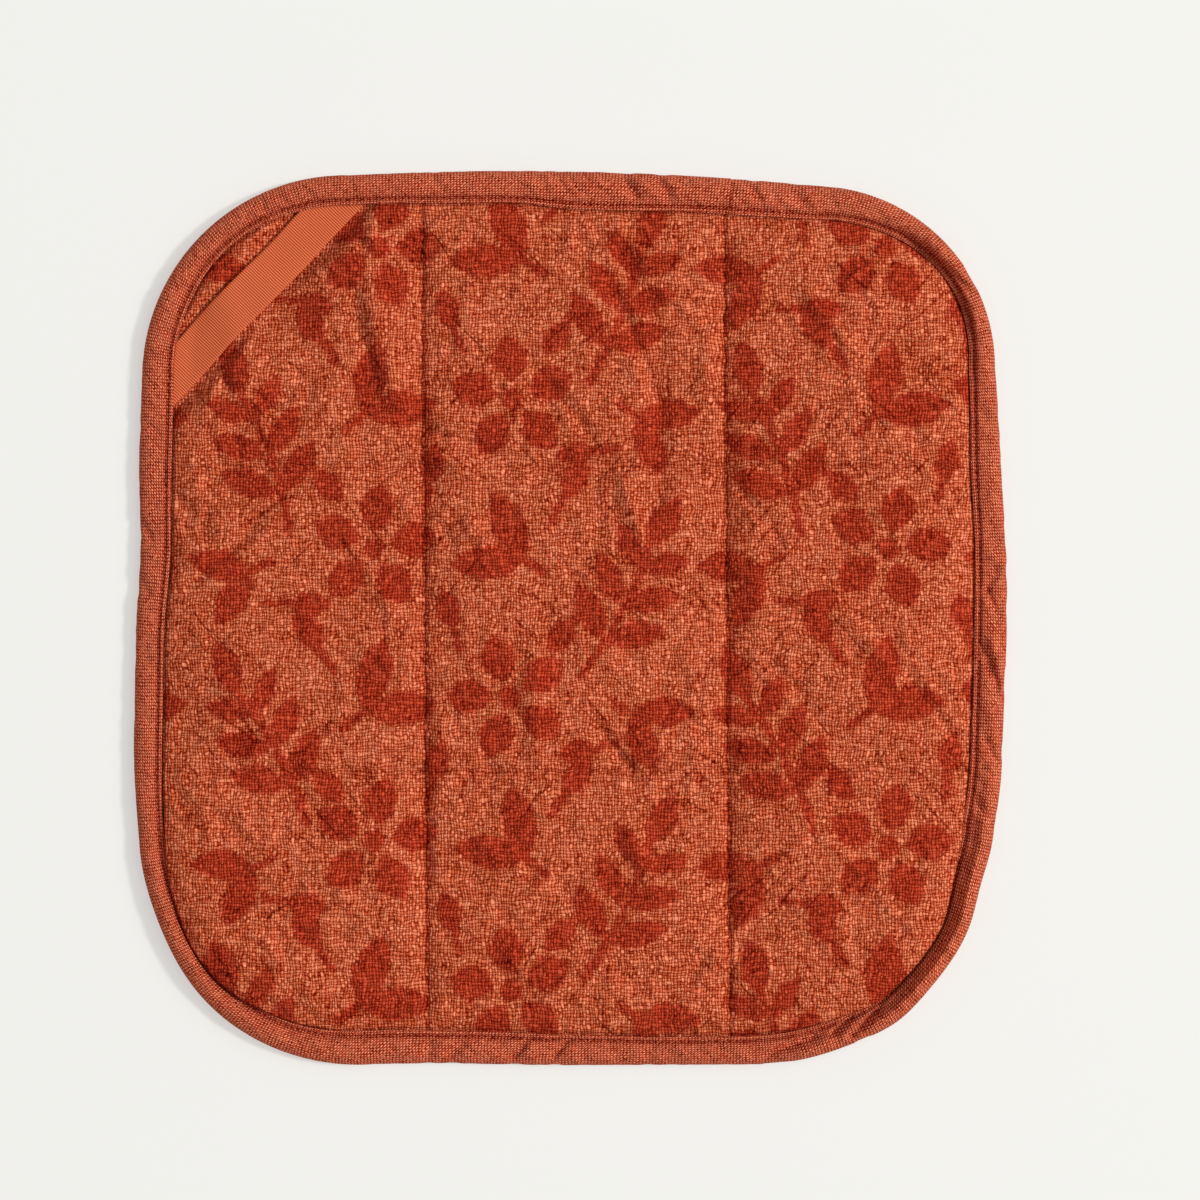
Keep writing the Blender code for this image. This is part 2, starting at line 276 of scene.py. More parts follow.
def carried(points: Array, along: Array, across: Array, close_rows: bool) -> Skin:
    """Join a closed section, carried along a path, into a skin.

    Args:
        points: The section's points at each station of the path.
        along: The way along the cloth at each point, with the first point of a row again at its end.
        across: The way round the section, with one entry more than it has points.
        close_rows: Whether the path is closed; if not, both ends are.

    Returns:
        The skin, its faces pointing out.
    """
    rows, columns = points.shape[:2]
    faces, places = quads(rows, columns, close_rows, close_columns=True)
    uv = np.stack([along[places[..., 0], places[..., 1]], across[places[..., 1]]], axis=-1)
    groups, uv_groups = [faces], [uv]
    if not close_rows:
        ring = np.arange(columns)
        ends = ring[::-1], (rows - 1) * columns + ring
        groups.append(np.stack(ends))
        uv_groups.append(np.stack([np.stack([along[row, :-1], across[:-1]], axis=-1) for row in (0, -1)]))
    return Skin(points.reshape(-1, 3), groups, uv_groups).outward()


def hold(piece: bpy.types.Object, name: str, values: Array) -> None:
    """Keep a number for each point of a piece, under a name that its material reads."""
    kept = piece.data.attributes.new(name, "FLOAT", "POINT")
    kept.data.foreach_set("value", values.astype(np.float32).ravel())


def joined(skins: list[Skin]) -> Skin:
    """Return several skins of the same kinds of faces as one."""
    first = np.cumsum([0] + [len(skin.points) for skin in skins])
    groups = zip(*(skin.faces for skin in skins))
    faces = [np.concatenate([part + start for part, start in zip(group, first)]) for group in groups]
    return Skin(np.concatenate([skin.points for skin in skins]), faces)


# Shader maths


class Number:
    """A number that a shader works out for each point, on which arithmetic adds Math nodes."""

    def __init__(self, graph: "Graph", socket: bpy.types.NodeSocket) -> None:
        """Wrap a node's output.

        Args:
            graph: Graph that holds the node.
            socket: The node's output.
        """
        self.graph = graph
        self.socket = socket

    def __add__(self, other: "Number | float") -> "Number":
        """Return self + other."""
        return self.graph.math("ADD", self, other)

    __radd__ = __add__

    def __sub__(self, other: "Number | float") -> "Number":
        """Return self - other."""
        return self.graph.math("SUBTRACT", self, other)

    def __rsub__(self, other: float) -> "Number":
        """Return other - self."""
        return self.graph.math("SUBTRACT", other, self)

    def __mul__(self, other: "Number | float") -> "Number":
        """Return self * other."""
        return self.graph.math("MULTIPLY", self, other)

    __rmul__ = __mul__

    def __truediv__(self, other: "Number | float") -> "Number":
        """Return self / other."""
        return self.graph.math("DIVIDE", self, other)

    def __gt__(self, other: "Number | float") -> "Number":
        """Return 1 where self is greater than other, and 0 elsewhere."""
        return self.graph.math("GREATER_THAN", self, other)

    def floor(self) -> "Number":
        """Return the whole number below."""
        return self.graph.math("FLOOR", self)

    def sine(self) -> "Number":
        """Return the sine."""
        return self.graph.math("SINE", self)

    def exponential(self) -> "Number":
        """Return e to this power."""
        return self.graph.math("EXPONENT", self)

    def most(self, other: "Number | float") -> "Number":
        """Return the greater of the two."""
        return self.graph.math("MAXIMUM", self, other)

    def step(self, start: float, end: float) -> "Number":
        """Return 0 before start, 1 past end and a smooth rise between."""
        settings = {"interpolation_type": "SMOOTHSTEP"}
        inputs = {"Value": self, "From Min": start, "From Max": end}
        return Number(self.graph, self.graph.node("ShaderNodeMapRange", settings, inputs).outputs["Result"])


class Graph:
    """The shader nodes of one material, ending in a Principled BSDF."""

    def __init__(self, name: str, roughness: float, gloss: float, sheen: float, sheen_tint: Colour) -> None:
        """Make a cloth material with the values that are the same all over.

        Args:
            name: Name of the material.
            roughness: Roughness of the fibres.
            gloss: Strength of their highlights, 0.5 being that of plastic.
            sheen: Weight of the soft glow at glancing angles.
            sheen_tint: Display colour of that glow.
        """
        self.material = bpy.data.materials.new(name)
        self.material.use_nodes = True
        self.tree = self.material.node_tree
        self.shader = self.tree.nodes["Principled BSDF"]
        self.shader.inputs["Roughness"].default_value = roughness
        self.shader.inputs["Metallic"].default_value = 0.0
        self.shader.inputs["Specular IOR Level"].default_value = gloss
        self.shader.inputs["Sheen Weight"].default_value = sheen
        self.shader.inputs["Sheen Roughness"].default_value = 0.45
        self.shader.inputs["Sheen Tint"].default_value = linear_colour(sheen_tint)

    def node(self, kind: str, settings: dict | None = None, inputs: dict | None = None) -> bpy.types.Node:
        """Add a node.

        Args:
            kind: Blender's name of the node's type.
            settings: Its settings by name, which are set first.
            inputs: Values or links of its sockets, by name or index.

        Returns:
            The node.
        """
        made = self.tree.nodes.new(kind)
        for name, value in (settings or {}).items():
            setattr(made, name, value)
        for key, value in (inputs or {}).items():
            source = value.socket if isinstance(value, Number) else value
            if isinstance(source, bpy.types.NodeSocket):
                self.tree.links.new(source, made.inputs[key])
            else:
                made.inputs[key].default_value = source
        return made

    def math(self, operation: str, *values: Number | float) -> Number:
        """Return the result of a Math node with this operation on these values."""
        made = self.node("ShaderNodeMath", {"operation": operation}, dict(enumerate(values)))
        return Number(self, made.outputs[0])

    def place(self, source: str) -> tuple[Number, Number]:
        """Return the first two of the Object or UV coordinates, in metres."""
        found = self.node("ShaderNodeTexCoord").outputs[source]
        parts = self.node("ShaderNodeSeparateXYZ", inputs={0: found})
        return Number(self, parts.outputs[0]), Number(self, parts.outputs[1])

    def attribute(self, name: str) -> Number:
        """Return a value that the mesh holds for each point."""
        return Number(self, self.node("ShaderNodeAttribute", {"attribute_name": name}).outputs["Fac"])

    def noise(self, u: Number | float, v: Number | float, seed: float, detail: float = 1.0) -> Number:
        """Return soft noise from 0 to 1 with features one unit wide.

        Args:
            u: First coordinate, in features.
            v: Second coordinate, in features.
            seed: Third coordinate, a layer of its own for each use.
            detail: Number of finer octaves.

        Returns:
            The noise.
        """
        vector = self.node("ShaderNodeCombineXYZ", inputs={0: u, 1: v, 2: seed}).outputs[0]
        made = self.node("ShaderNodeTexNoise", inputs={"Vector": vector, "Scale": 1.0, "Detail": detail})
        return Number(self, made.outputs[0])

    def blend(self, first: object, second: object, factor: Number) -> bpy.types.NodeSocket:
        """Return a colour that goes from first to second as factor goes from 0 to 1."""
        inputs = {0: factor, 6: first, 7: second}
        return self.node("ShaderNodeMix", {"data_type": "RGBA"}, inputs).outputs[2]

    def ramp(self, colours: tuple[Colour, ...], amount: Number) -> bpy.types.NodeSocket:
        """Return a colour that passes evenly through display colours as amount goes from 0 to 1."""
        made = self.node("ShaderNodeValToRGB", inputs={0: amount})
        stops = made.color_ramp.elements
        for place in np.linspace(0.0, 1.0, len(colours))[1:-1]:
            stops.new(float(place))
        for stop, colour in zip(stops, colours):
            stop.color = linear_colour(colour)
        return made.outputs[0]

    def scaled(self, colour: bpy.types.NodeSocket, amount: Number) -> bpy.types.NodeSocket:
        """Return a colour made lighter or darker by an amount."""
        made = self.node("ShaderNodeVectorMath", {"operation": "SCALE"}, {0: colour, "Scale": amount})
        return made.outputs[0]

    def finish(self, colour: bpy.types.NodeSocket, relief: Number) -> bpy.types.Material:
        """Link the colour and the relief to the shader.

        Args:
            colour: The surface's colour.
            relief: The fine relief, in metres.

        Returns:
            The finished material.
        """
        bump = self.node("ShaderNodeBump", inputs={"Strength": 1.0, "Distance": 1.0, "Height": relief})
        self.tree.links.new(colour, self.shader.inputs["Base Color"])
        self.tree.links.new(bump.outputs[0], self.shader.inputs["Normal"])
        return self.material


@dataclass(frozen=True)
class PlainWeave:
    """Warp and weft threads that pass over and under each other by turns."""

    warp_pitch: float
    weft_pitch: float
    wander: float  # how far threads stray from straight
    wander_length: float
    crowd: float  # how far each thread stands off its even place, in pitches
    slub: float  # how much the threads' thickness changes along them
    slub_length: float
    warp_lit_tone: float  # how much lighter the warp shows than the weft: painted light for how the light falls on the two threads' nubs

    SUNK = 0.15  # height of a thread where it passes under another
    FLANK = 3.4  # how fast a thread's section falls off its middle, which is at 0 of -0.5 to 0.5
    CROWD_PITCHES = 1.4  # width of a crowded place across the threads
    CROWD_SLUBS = 4.0  # and along them
    THREADS_APART = 5.3  # so far apart in the noise, neighbours have tones of their own
    CROSSINGS_APART = 3.7
    CROSSING_TONE = 1.5

    def threads(self, graph: Graph, x: Number, y: Number) -> tuple[Number, Number]:
        """Work out the cloth's relief and the tone of its threads.

        A thread's section is 1 - 0.85 (2c)^2, c being the way from its middle in pitches. Along the
        thread its height follows a sine of two pitches, turned by half a wave from one thread to the
        next. The higher of warp and weft shows.

        Args:
            graph: Graph to add the nodes to.
            x: Place across the warp threads, in metres.
            y: Place across the weft threads, in metres.

        Returns:
            The relief from 0 to about 1, and the tone of thread and crossing, about 0.5, which is
            random but for the even difference between warp and weft, a painted light on the warp.
        """
        stray_x = graph.noise(x / self.wander_length, y / self.wander_length, 3.1) - 0.5
        stray_y = graph.noise(x / self.wander_length, y / self.wander_length, 8.7) - 0.5
        patch = self.CROWD_SLUBS * self.slub_length
        crowd_x = graph.noise(x / (self.CROWD_PITCHES * self.warp_pitch), y / patch, 24.6, 0.0) - 0.5
        crowd_y = graph.noise(x / patch, y / (self.CROWD_PITCHES * self.weft_pitch), 27.3, 0.0) - 0.5
        u = (x + stray_x * (2.0 * self.wander)) / self.warp_pitch + crowd_x * (2.0 * self.crowd)
        v = (y + stray_y * (2.0 * self.wander)) / self.weft_pitch + crowd_y * (2.0 * self.crowd)
        warp_number, weft_number = u.floor(), v.floor()
        along_warp, along_weft = self.weft_pitch / self.slub_length, self.warp_pitch / self.slub_length
        warp_tone = graph.noise(warp_number * self.THREADS_APART, v * along_warp, 1.9, 3.0)
        weft_tone = graph.noise(u * along_weft, weft_number * self.THREADS_APART, 6.3, 3.0)
        warp_over = ((v + warp_number) * np.pi).sine() * 0.5 + 0.5
        weft_over = 0.5 - ((u + weft_number) * np.pi).sine() * 0.5
        warp = self._thread(u - warp_number - 0.5, warp_over, warp_tone)
        weft = self._thread(v - weft_number - 0.5, weft_over, weft_tone)
        warp_shows = warp > weft
        apart = self.CROSSINGS_APART
        crossing = graph.noise(warp_number * apart, weft_number * apart, 14.2, 0.0) - 0.5
        crossing = crossing * self.CROSSING_TONE
        # painted light: the warp shows lighter than the weft, for how the light falls on their nubs
        tone = weft_tone + (warp_tone - weft_tone + self.warp_lit_tone) * warp_shows + crossing
        return warp.most(weft), tone - 0.5 * self.warp_lit_tone

    def _thread(self, centred: Number, over: Number, tone: Number) -> Number:
        """Return a thread's height from the way off its middle, its rise and its thickness."""
        section = 1.0 - centred * centred * self.FLANK
        thickness = tone * (2.0 * self.slub) + (1.0 - self.slub)
        rise = over * (2.0 - over)
        return section * (rise * (1.0 - self.SUNK) + self.SUNK) * thickness


# Finishes


@dataclass(frozen=True)
class PrintedLinen:
    """Terracotta linen with a darker block print, whose unsigned edge the mesh holds as a distance."""

    plain: tuple[Colour, ...] = (  # from deep between the threads to their crests: the linen's colour with painted shade low between the threads and painted highlight on the crests
        (0.350, 0.008, 0.000),
        (0.666, 0.212, 0.084),
        (0.862, 0.422, 0.276),
        (1.000, 0.612, 0.466),
    )
    # the print's colour, with painted shade low between the threads and painted highlight on the crests
    printed: tuple[Colour, ...] = (
        (0.292, 0.008, 0.001),
        (0.562, 0.128, 0.048),
        (0.730, 0.240, 0.138),
        (0.862, 0.348, 0.236),
    )
    relief_shading_tone: float = 1.05  # how far a thread's own height goes along those colours, painting shade low and highlight high
    thread_tone: float = 0.45
    tone_start: float = -0.475
    # painted shade where the sewn lines draw the face down
    seam_shade_tone: float = 0.22
    # painted shade in the fine creases
    crease_shade_tone: float = 0.20
    glow: Colour = (0.95, 0.62, 0.45)
    weave: PlainWeave = PlainWeave(0.00074, 0.00077, 0.00075, 0.004, 0.55, 0.42, 0.0018, 0.25)
    print_edge: float = 0.00060
    ragged: float = 0.0013
    ragged_length: float = 0.0013
    patchy: float = 0.2  # how far the print lets the plain colour through in places
    patch_length: float = 0.005
    mottle: float = 0.16
    mottle_length: float = 0.017
    level_seam_patch_length: float = 0.004
    level_seam_share: float = 0.6  # how much fainter the level seams are
    crease_half_width: float = 0.05  # in units of the crease field
    crease_depth: float = 0.00022
    seam_half_width: float = 0.00050
    seam_depth: float = 0.00040
    weave_depth: float = 0.00028
    crinkle_length: float = 0.0075
    crinkle_pitch: float = 0.0019
    crinkle_depth: float = 0.00090
    crinkle_patch: float = 0.022
    crinkle_stray: float = 1.6
    stray_length: float = 0.011

    def material(self) -> bpy.types.Material:
        """Build the material.

        Returns:
            The linen, with weave, slubs, print, mottling and fine creases.
        """
        graph = Graph("block_printed_linen", 0.9, 0.05, 0.03, self.glow)
        x, y = graph.place("Object")
        relief, tone = self.weave.threads(graph, x, y)
        edge_noise = graph.noise(x / self.ragged_length, y / self.ragged_length, 4.4, 2.0) - 0.5
        distance = graph.attribute("print") + edge_noise * (2.0 * self.ragged)
        printed = 1.0 - distance.step(-self.print_edge, self.print_edge)
        inked = graph.noise(x / self.patch_length, y / self.patch_length, 2.2, 2.0).step(0.1, 0.45)
        printed = printed * (inked * self.patchy + (1.0 - self.patchy))
        field = graph.attribute("crease")
        # painted shade: the crease lines darken the colour as well as sinking the relief
        line = (field * field * (-1.0 / self.crease_half_width**2)).exponential() * graph.attribute("creased")
        # painted shade along the sewn lines, the level ones only in patches; it darkens the colour and sinks
        # the relief
        level_seam_patches = graph.noise(x / self.level_seam_patch_length, y / self.level_seam_patch_length, 9.1).step(0.35, 0.6)
        seam = self.seam(graph, "seam_x").most(self.seam(graph, "seam_y") * level_seam_patches * self.level_seam_share)
        # painted shade and highlight: a thread's height moves its colour from dark between threads to light
        # on crests
        amount = relief * self.relief_shading_tone + tone * self.thread_tone + self.tone_start
        amount = amount - line * self.crease_shade_tone - seam * self.seam_shade_tone
        cloth = graph.blend(graph.ramp(self.plain, amount), graph.ramp(self.printed, amount), printed)
        mottle = graph.noise(x / self.mottle_length, y / self.mottle_length, 5.5, 2.0)
        crinkle = self.crinkle(graph, x + y, x - y, 12.4) + self.crinkle(graph, x - y, x + y, 15.2)
        height = relief * self.weave_depth + crinkle * self.crinkle_depth - line * self.crease_depth
        shade = mottle * self.mottle + (1.0 - 0.5 * self.mottle)
        return graph.finish(graph.scaled(cloth, shade), height - seam * self.seam_depth)

    def seam(self, graph: Graph, name: str) -> Number:
        """Return 1 on a sewn line and 0 off it, from the named way off it."""
        away = graph.attribute(name)
        return (away * away * (-1.0 / self.seam_half_width**2)).exponential()

    def crinkle(self, graph: Graph, along: Number, across: Number, seed: float) -> Number:
        """Return short slanting waves in patches, from coordinates that run sqrt(2) too fast."""
        root = float(np.sqrt(2.0))
        stray = graph.noise(along / self.stray_length, across / self.stray_length, seed + 1.0)
        length, pitch = root * self.crinkle_length, root * self.crinkle_pitch
        wave = graph.noise(along / length, across / pitch + stray * self.crinkle_stray, seed)
        patch = graph.noise(along / self.crinkle_patch, across / self.crinkle_patch, seed + 2.0)
        return (wave - 0.5) * (patch.step(0.40, 0.62) * 0.75 + 0.25)


@dataclass(frozen=True)
class BiasStrip:
    """Fine plain-woven cotton cut on the bias, so that its threads run slantwise."""

    plain: tuple[Colour, ...] = (  # from deep between the threads to their crests: the strip's colour with painted shade low between the threads and painted highlight on the crests
        (0.378, 0.012, 0.002),
        (0.686, 0.201, 0.088),
        (0.880, 0.398, 0.262),
        (1.000, 0.592, 0.450),
    )
    relief_shading_tone: float = 1.05
    thread_tone: float = 0.50
    tone_start: float = -0.51
    # painted shade in the stitched groove and in the gap before the lap
    seam_shade_tone: float = 0.45
    seam_half_width: float = 0.00036
    glow: Colour = (0.95, 0.66, 0.52)
    weave: PlainWeave = PlainWeave(0.00047, 0.00049, 0.00024, 0.003, 0.26, 0.35, 0.0030, 1.35)
    bias_deg: float = 39.0  # of both threads to the strip's length: less than 45, as the strip is stretched
    weave_depth: float = 0.00026
    crumple_depth: float = 0.00060
    crumple_length: float = 0.0045
    crumple_pitch: float = 0.0018
    mottle: float = 0.24
    mottle_length: float = 0.011
    mottle_width: float = 0.006

    def material(self) -> bpy.types.Material:
        """Build the material.

        Returns:
            The strip's cloth, with its threads aslant to its length.
        """
        graph = Graph("bias_binding", 0.88, 0.05, 0.04, self.glow)
        along, across = graph.place("UV")
        bias = np.radians(self.bias_deg)
        far, beside = along * float(np.sin(bias)), across * float(np.cos(bias))
        relief, tone = self.weave.threads(graph, far + beside, far - beside)
        mottle = graph.noise(along / self.mottle_length, across / self.mottle_width, 7.7, 2.0)
        shade = mottle * self.mottle + (1.0 - 0.5 * self.mottle)
        # painted shade: way off the stitched groove, or along the strip to the lap
        off_shaded_line = graph.attribute("seam")
        seam = (off_shaded_line * off_shaded_line * (-1.0 / self.seam_half_width**2)).exponential()
        # painted shade and highlight: low between threads, high on crests, darker along the groove and before
        # the lap
        amount = relief * self.relief_shading_tone + tone * self.thread_tone + self.tone_start - seam * self.seam_shade_tone
        slant, beside = (along + across) / self.crumple_length, (along - across) / self.crumple_pitch
        crumple = graph.noise(slant, beside, 4.6, 1.0) - 0.5
        height = relief * self.weave_depth + crumple * self.crumple_depth
        return graph.finish(graph.scaled(graph.ramp(self.plain, amount), shade), height)


@dataclass(frozen=True)
class RibbedTape:
    """Smooth woven tape with fine ribs across it."""

    # the tape's orange, with painted shade in the rib valleys and painted light on the rib crests
    crest: Colour = (0.985, 0.520, 0.335)
    valley: Colour = (0.650, 0.200, 0.060)
    glow: Colour = (1.0, 0.72, 0.50)
    rib_pitch: float = 0.00056
    rib_depth: float = 0.00009
    rib_stray: float = 0.0003
    streak: float = 0.22

    def material(self) -> bpy.types.Material:
        """Build the material.

        Returns:
            The tape's cloth.
        """
        graph = Graph("loop_tape", 0.66, 0.20, 0.08, self.glow)
        along, across = graph.place("UV")
        stray = graph.noise(along / 0.003, across / 0.002, 1.3) * self.rib_stray
        rib = ((along + stray) * (FULL_TURN / self.rib_pitch)).sine() * 0.5 + 0.5
        streak = graph.noise(along / 0.0012, across / 0.0005, 2.9, 2.0) * self.streak
        # painted shade and light across the ribs: darker in their valleys, lighter on their crests
        cloth = graph.blend(linear_colour(self.valley), linear_colour(self.crest), rib)
        return graph.finish(graph.scaled(cloth, streak + (1.0 - 0.5 * self.streak)), rib * self.rib_depth)


@dataclass(frozen=True)
class SewingThread:
    """Twisted terracotta thread."""

    light: Colour = (0.800, 0.400, 0.270)
    dark: Colour = (0.560, 0.205, 0.120)
    glow: Colour = (1.0, 0.72, 0.50)
    twist_depth: float = 0.00004

    def material(self) -> bpy.types.Material:
        """Build the material.

        Returns:
            The thread, mottled along its twist.
        """
        graph = Graph("sewing_thread", 0.7, 0.20, 0.1, self.glow)
        x, y = graph.place("Object")
        twist = graph.noise((x + y) / 0.00035, (x - y) / 0.0006, 3.3)
        cloth = graph.blend(linear_colour(self.dark), linear_colour(self.light), twist.step(0.3, 0.7))
        return graph.finish(cloth, twist * self.twist_depth)


# The outline that pad and binding share


@dataclass(frozen=True)
class CornerDisc:
    """A round corner. A belt round the four discs is the outline, and side_bow swells the side after it."""

    x: float
    y: float
    radius: float
    side_bow: float

    @property
    def centre(self) -> Array:
        """The disc's centre."""
        return np.array((self.x, self.y))


@dataclass(frozen=True)
class Wobble:
    """A soft bulge (or dent, below zero) of the outline, at an angle from +X about the centre."""

    angle_deg: float
    spread_deg: float
    height: float


def angle_bump(angle: Array, at_deg: float, spread_deg: float) -> Array:
    """Return a bell over the angle from +X, which is 1 at at_deg."""
    return bell((np.degrees(angle) - at_deg + 180.0) % 360.0 - 180.0, spread_deg)


@dataclass(frozen=True)
class CornerRoll:
    """A corner where the binding's outer half rolls up."""

    angle_deg: float
    spread_deg: float
    lift: float
    swell: float  # how steeply the filling stands up against the binding, from 0 to 1
    sink: float  # how far the flap's inner edge sinks, from 0 to 1
    foot_share: float  # where the roll starts and ends, as shares of the flap's width from the outline
    crest_share: float

    def share_at(self, angle: Array) -> Array:
        """Return how much of the roll there is at an angle from +X, 1 in its middle."""
        return angle_bump(angle, self.angle_deg, self.spread_deg)


@dataclass(frozen=True)
class Outline:
    """The pot holder's outer edge, counterclockwise from the far right corner, and its flaps of binding."""

    corners: tuple[CornerDisc, ...] = (
        CornerDisc(x=0.0570, y=0.0590, radius=0.0430, side_bow=0.0021),
        CornerDisc(x=-0.0530, y=0.0565, radius=0.0480, side_bow=0.0011),
        CornerDisc(x=-0.0490, y=-0.0525, radius=0.0530, side_bow=0.0),
        CornerDisc(x=0.0430, y=-0.0485, radius=0.0565, side_bow=0.0031),
    )
    wobbles: tuple[Wobble, ...] = (
        Wobble(18, 8, height=-0.0006),
        Wobble(171, 8, height=-0.0010),
        Wobble(198, 6, height=0.0005),
        Wobble(216, 8, height=-0.0013),
        Wobble(252, 11, height=-0.0007),
        Wobble(309, 4, height=0.0009),
        Wobble(327, 4, height=-0.0012),
        Wobble(339, 6, height=0.0007),
    )
    rolls: tuple[CornerRoll, ...] = (
        CornerRoll(42, 9, lift=0.0012, swell=0.1, sink=0.5, foot_share=0.95, crest_share=0.60),
        CornerRoll(133, 13, lift=0.0006, swell=0.0, sink=0.3, foot_share=0.95, crest_share=0.5),
        CornerRoll(222, 15, lift=0.0007, swell=0.9, sink=1.0, foot_share=0.9, crest_share=0.45),
        CornerRoll(318, 16, lift=0.0021, swell=1.0, sink=1.0, foot_share=0.66, crest_share=0.38),
    )
    flap_widths: tuple[tuple[float, float], ...] = (  # at angles from +X
        *((0, 0.0077), (18, 0.0072), (30, 0.0067), (37, 0.0050), (44, 0.0049), (51, 0.0070), (58, 0.0082)),
        *((70, 0.0085), (86, 0.0090), (101, 0.0075), (117, 0.0071), (133, 0.0066), (146, 0.0073)),
        *((158, 0.0078), (169, 0.0072), (182, 0.0067), (195, 0.0067), (208, 0.0060), (221, 0.0059)),
        *((234, 0.0072), (246, 0.0081), (258, 0.0077), (270, 0.0072), (284, 0.0066), (300, 0.0070)),
        *((317, 0.0072), (338, 0.0075), (348, 0.0075)),
    )
    flap_blend_deg: float = 7.0
    point_count: int = 720
    run_points: int = 60
    arc_points: int = 60
    block_count: int = 24

    @staticmethod
    def side_normal(disc: CornerDisc, after: CornerDisc) -> Array:
        """Return the outward normal of the belt's run between two discs, which leans with their radii."""
        along = after.centre - disc.centre
        length = np.linalg.norm(along)
        along = along / length
        lean = (disc.radius - after.radius) / length
        return np.array((along[1], -along[0])) * np.sqrt(1.0 - lean * lean) + along * lean

    def belt(self) -> Array:
        """Trace the belt: for each side a run, bowed by 4t(1 - t), then the arc round the next disc.

        Returns:
            Its points.
        """
        pieces = []
        discs = self.corners
        for disc, after, last in zip(discs, discs[1:] + discs[:1], discs[2:] + discs[:2]):
            outward = self.side_normal(disc, after)
            run = np.linspace(0.0, 1.0, self.run_points, endpoint=False)[:, None]
            start = disc.centre + outward * disc.radius
            end = after.centre + outward * after.radius
            pieces.append(start + (end - start) * run + outward * (4.0 * run * (1.0 - run) * disc.side_bow))
            turn_from = np.arctan2(outward[1], outward[0])
            next_outward = self.side_normal(after, last)
            turn = (np.arctan2(next_outward[1], next_outward[0]) - turn_from) % FULL_TURN
            angles = turn_from + turn * np.linspace(0.0, 1.0, self.arc_points, endpoint=False)
            pieces.append(after.centre + after.radius * np.stack([np.cos(angles), np.sin(angles)], axis=1))
        return np.concatenate(pieces)

    @staticmethod
    def polar_radius(points: Array, angle: Array) -> Array:
        """Return the distance from the origin to a closed line of points, in the direction of each angle."""
        own_angle = np.arctan2(points[:, 1], points[:, 0]) % FULL_TURN
        order = np.argsort(own_angle)
        radius = np.linalg.norm(points, axis=1)[order]
        return np.interp(angle % FULL_TURN, own_angle[order], radius, period=FULL_TURN)

    @cached_property
    def points(self) -> Array:
        """The outer edge: the belt and its wobbles, centred on the origin."""
        angle = np.linspace(0.0, FULL_TURN, self.point_count, endpoint=False)
        radius = self.polar_radius(self.belt(), angle)
        for wobble in self.wobbles:
            radius = radius + wobble.height * angle_bump(angle, wobble.angle_deg, wobble.spread_deg)
        points = np.stack([radius * np.cos(angle), radius * np.sin(angle)], axis=1)
        return points - (points.min(axis=0) + points.max(axis=0)) / 2.0

    @staticmethod
    def inward(points: Array) -> Array:
        """Return unit normals that point into a closed counterclockwise line of points."""
        along = np.roll(points, -1, axis=0) - np.roll(points, 1, axis=0)
        along = along / np.linalg.norm(along, axis=1, keepdims=True)
        return np.stack([-along[:, 1], along[:, 0]], axis=1)

    def distance(self, x: Array, y: Array) -> Array:
        """Measure the way to the outline's nearest straight piece, a block of places at a time.

        Args:
            x: Places.
            y: Places.

        Returns:
            Their distances.
        """
        places = np.stack([np.ravel(x), np.ravel(y)], axis=1)
        start = self.points
        way = np.roll(start, -1, axis=0) - start
        length_squared = (way**2).sum(axis=1)
        found = []
        for block in np.array_split(places, self.block_count):
            from_start = block[:, None, :] - start
            share = np.clip((from_start * way).sum(axis=2) / length_squared, 0.0, 1.0)
            off = from_start - share[..., None] * way
            found.append(np.sqrt((off**2).sum(axis=2).min(axis=1)))
        return np.concatenate(found).reshape(np.shape(x))

    def flap(self, angle: Array) -> Array:
        """Return the flaps' width: the mean of the listed widths, weighted by bells over the angle."""
        weights = [angle_bump(angle, at_deg, self.flap_blend_deg) for at_deg, _width in self.flap_widths]
        total = sum(weight * width for weight, (_at_deg, width) in zip(weights, self.flap_widths))
        return total / sum(weights)

    def over_rolls(self, angle: Array, value: str) -> Array:
        """Return one of the rolls' values, each faded out on both sides of its corner."""
        return sum(getattr(roll, value) * roll.share_at(angle) for roll in self.rolls)

    def rolled(self, angle: Array, share: Array) -> Array:
        """Return the rolls' height at a share of the flap's width in from the outline."""
        total = np.zeros(np.broadcast(angle, share).shape)
        for roll in self.rolls:
            rise = soft_step((roll.foot_share - share) / (roll.foot_share - roll.crest_share))
            total = total + roll.lift * rise * roll.share_at(angle)
        return total


@dataclass(frozen=True)
class Thicknesses:
    """Heights in the bound edge, which its pieces share."""

    gap: float = 0.0003
    strip: float = 0.0010
    bound: float = 0.0050  # over both flaps and the pad's edge
    sunk: float = 0.0020  # how far the flap's inner edge sinks at a corner

    @property
    def ceiling(self) -> float:
        """Underside of the top flap."""
        return self.bound - self.strip


# Hanging loop


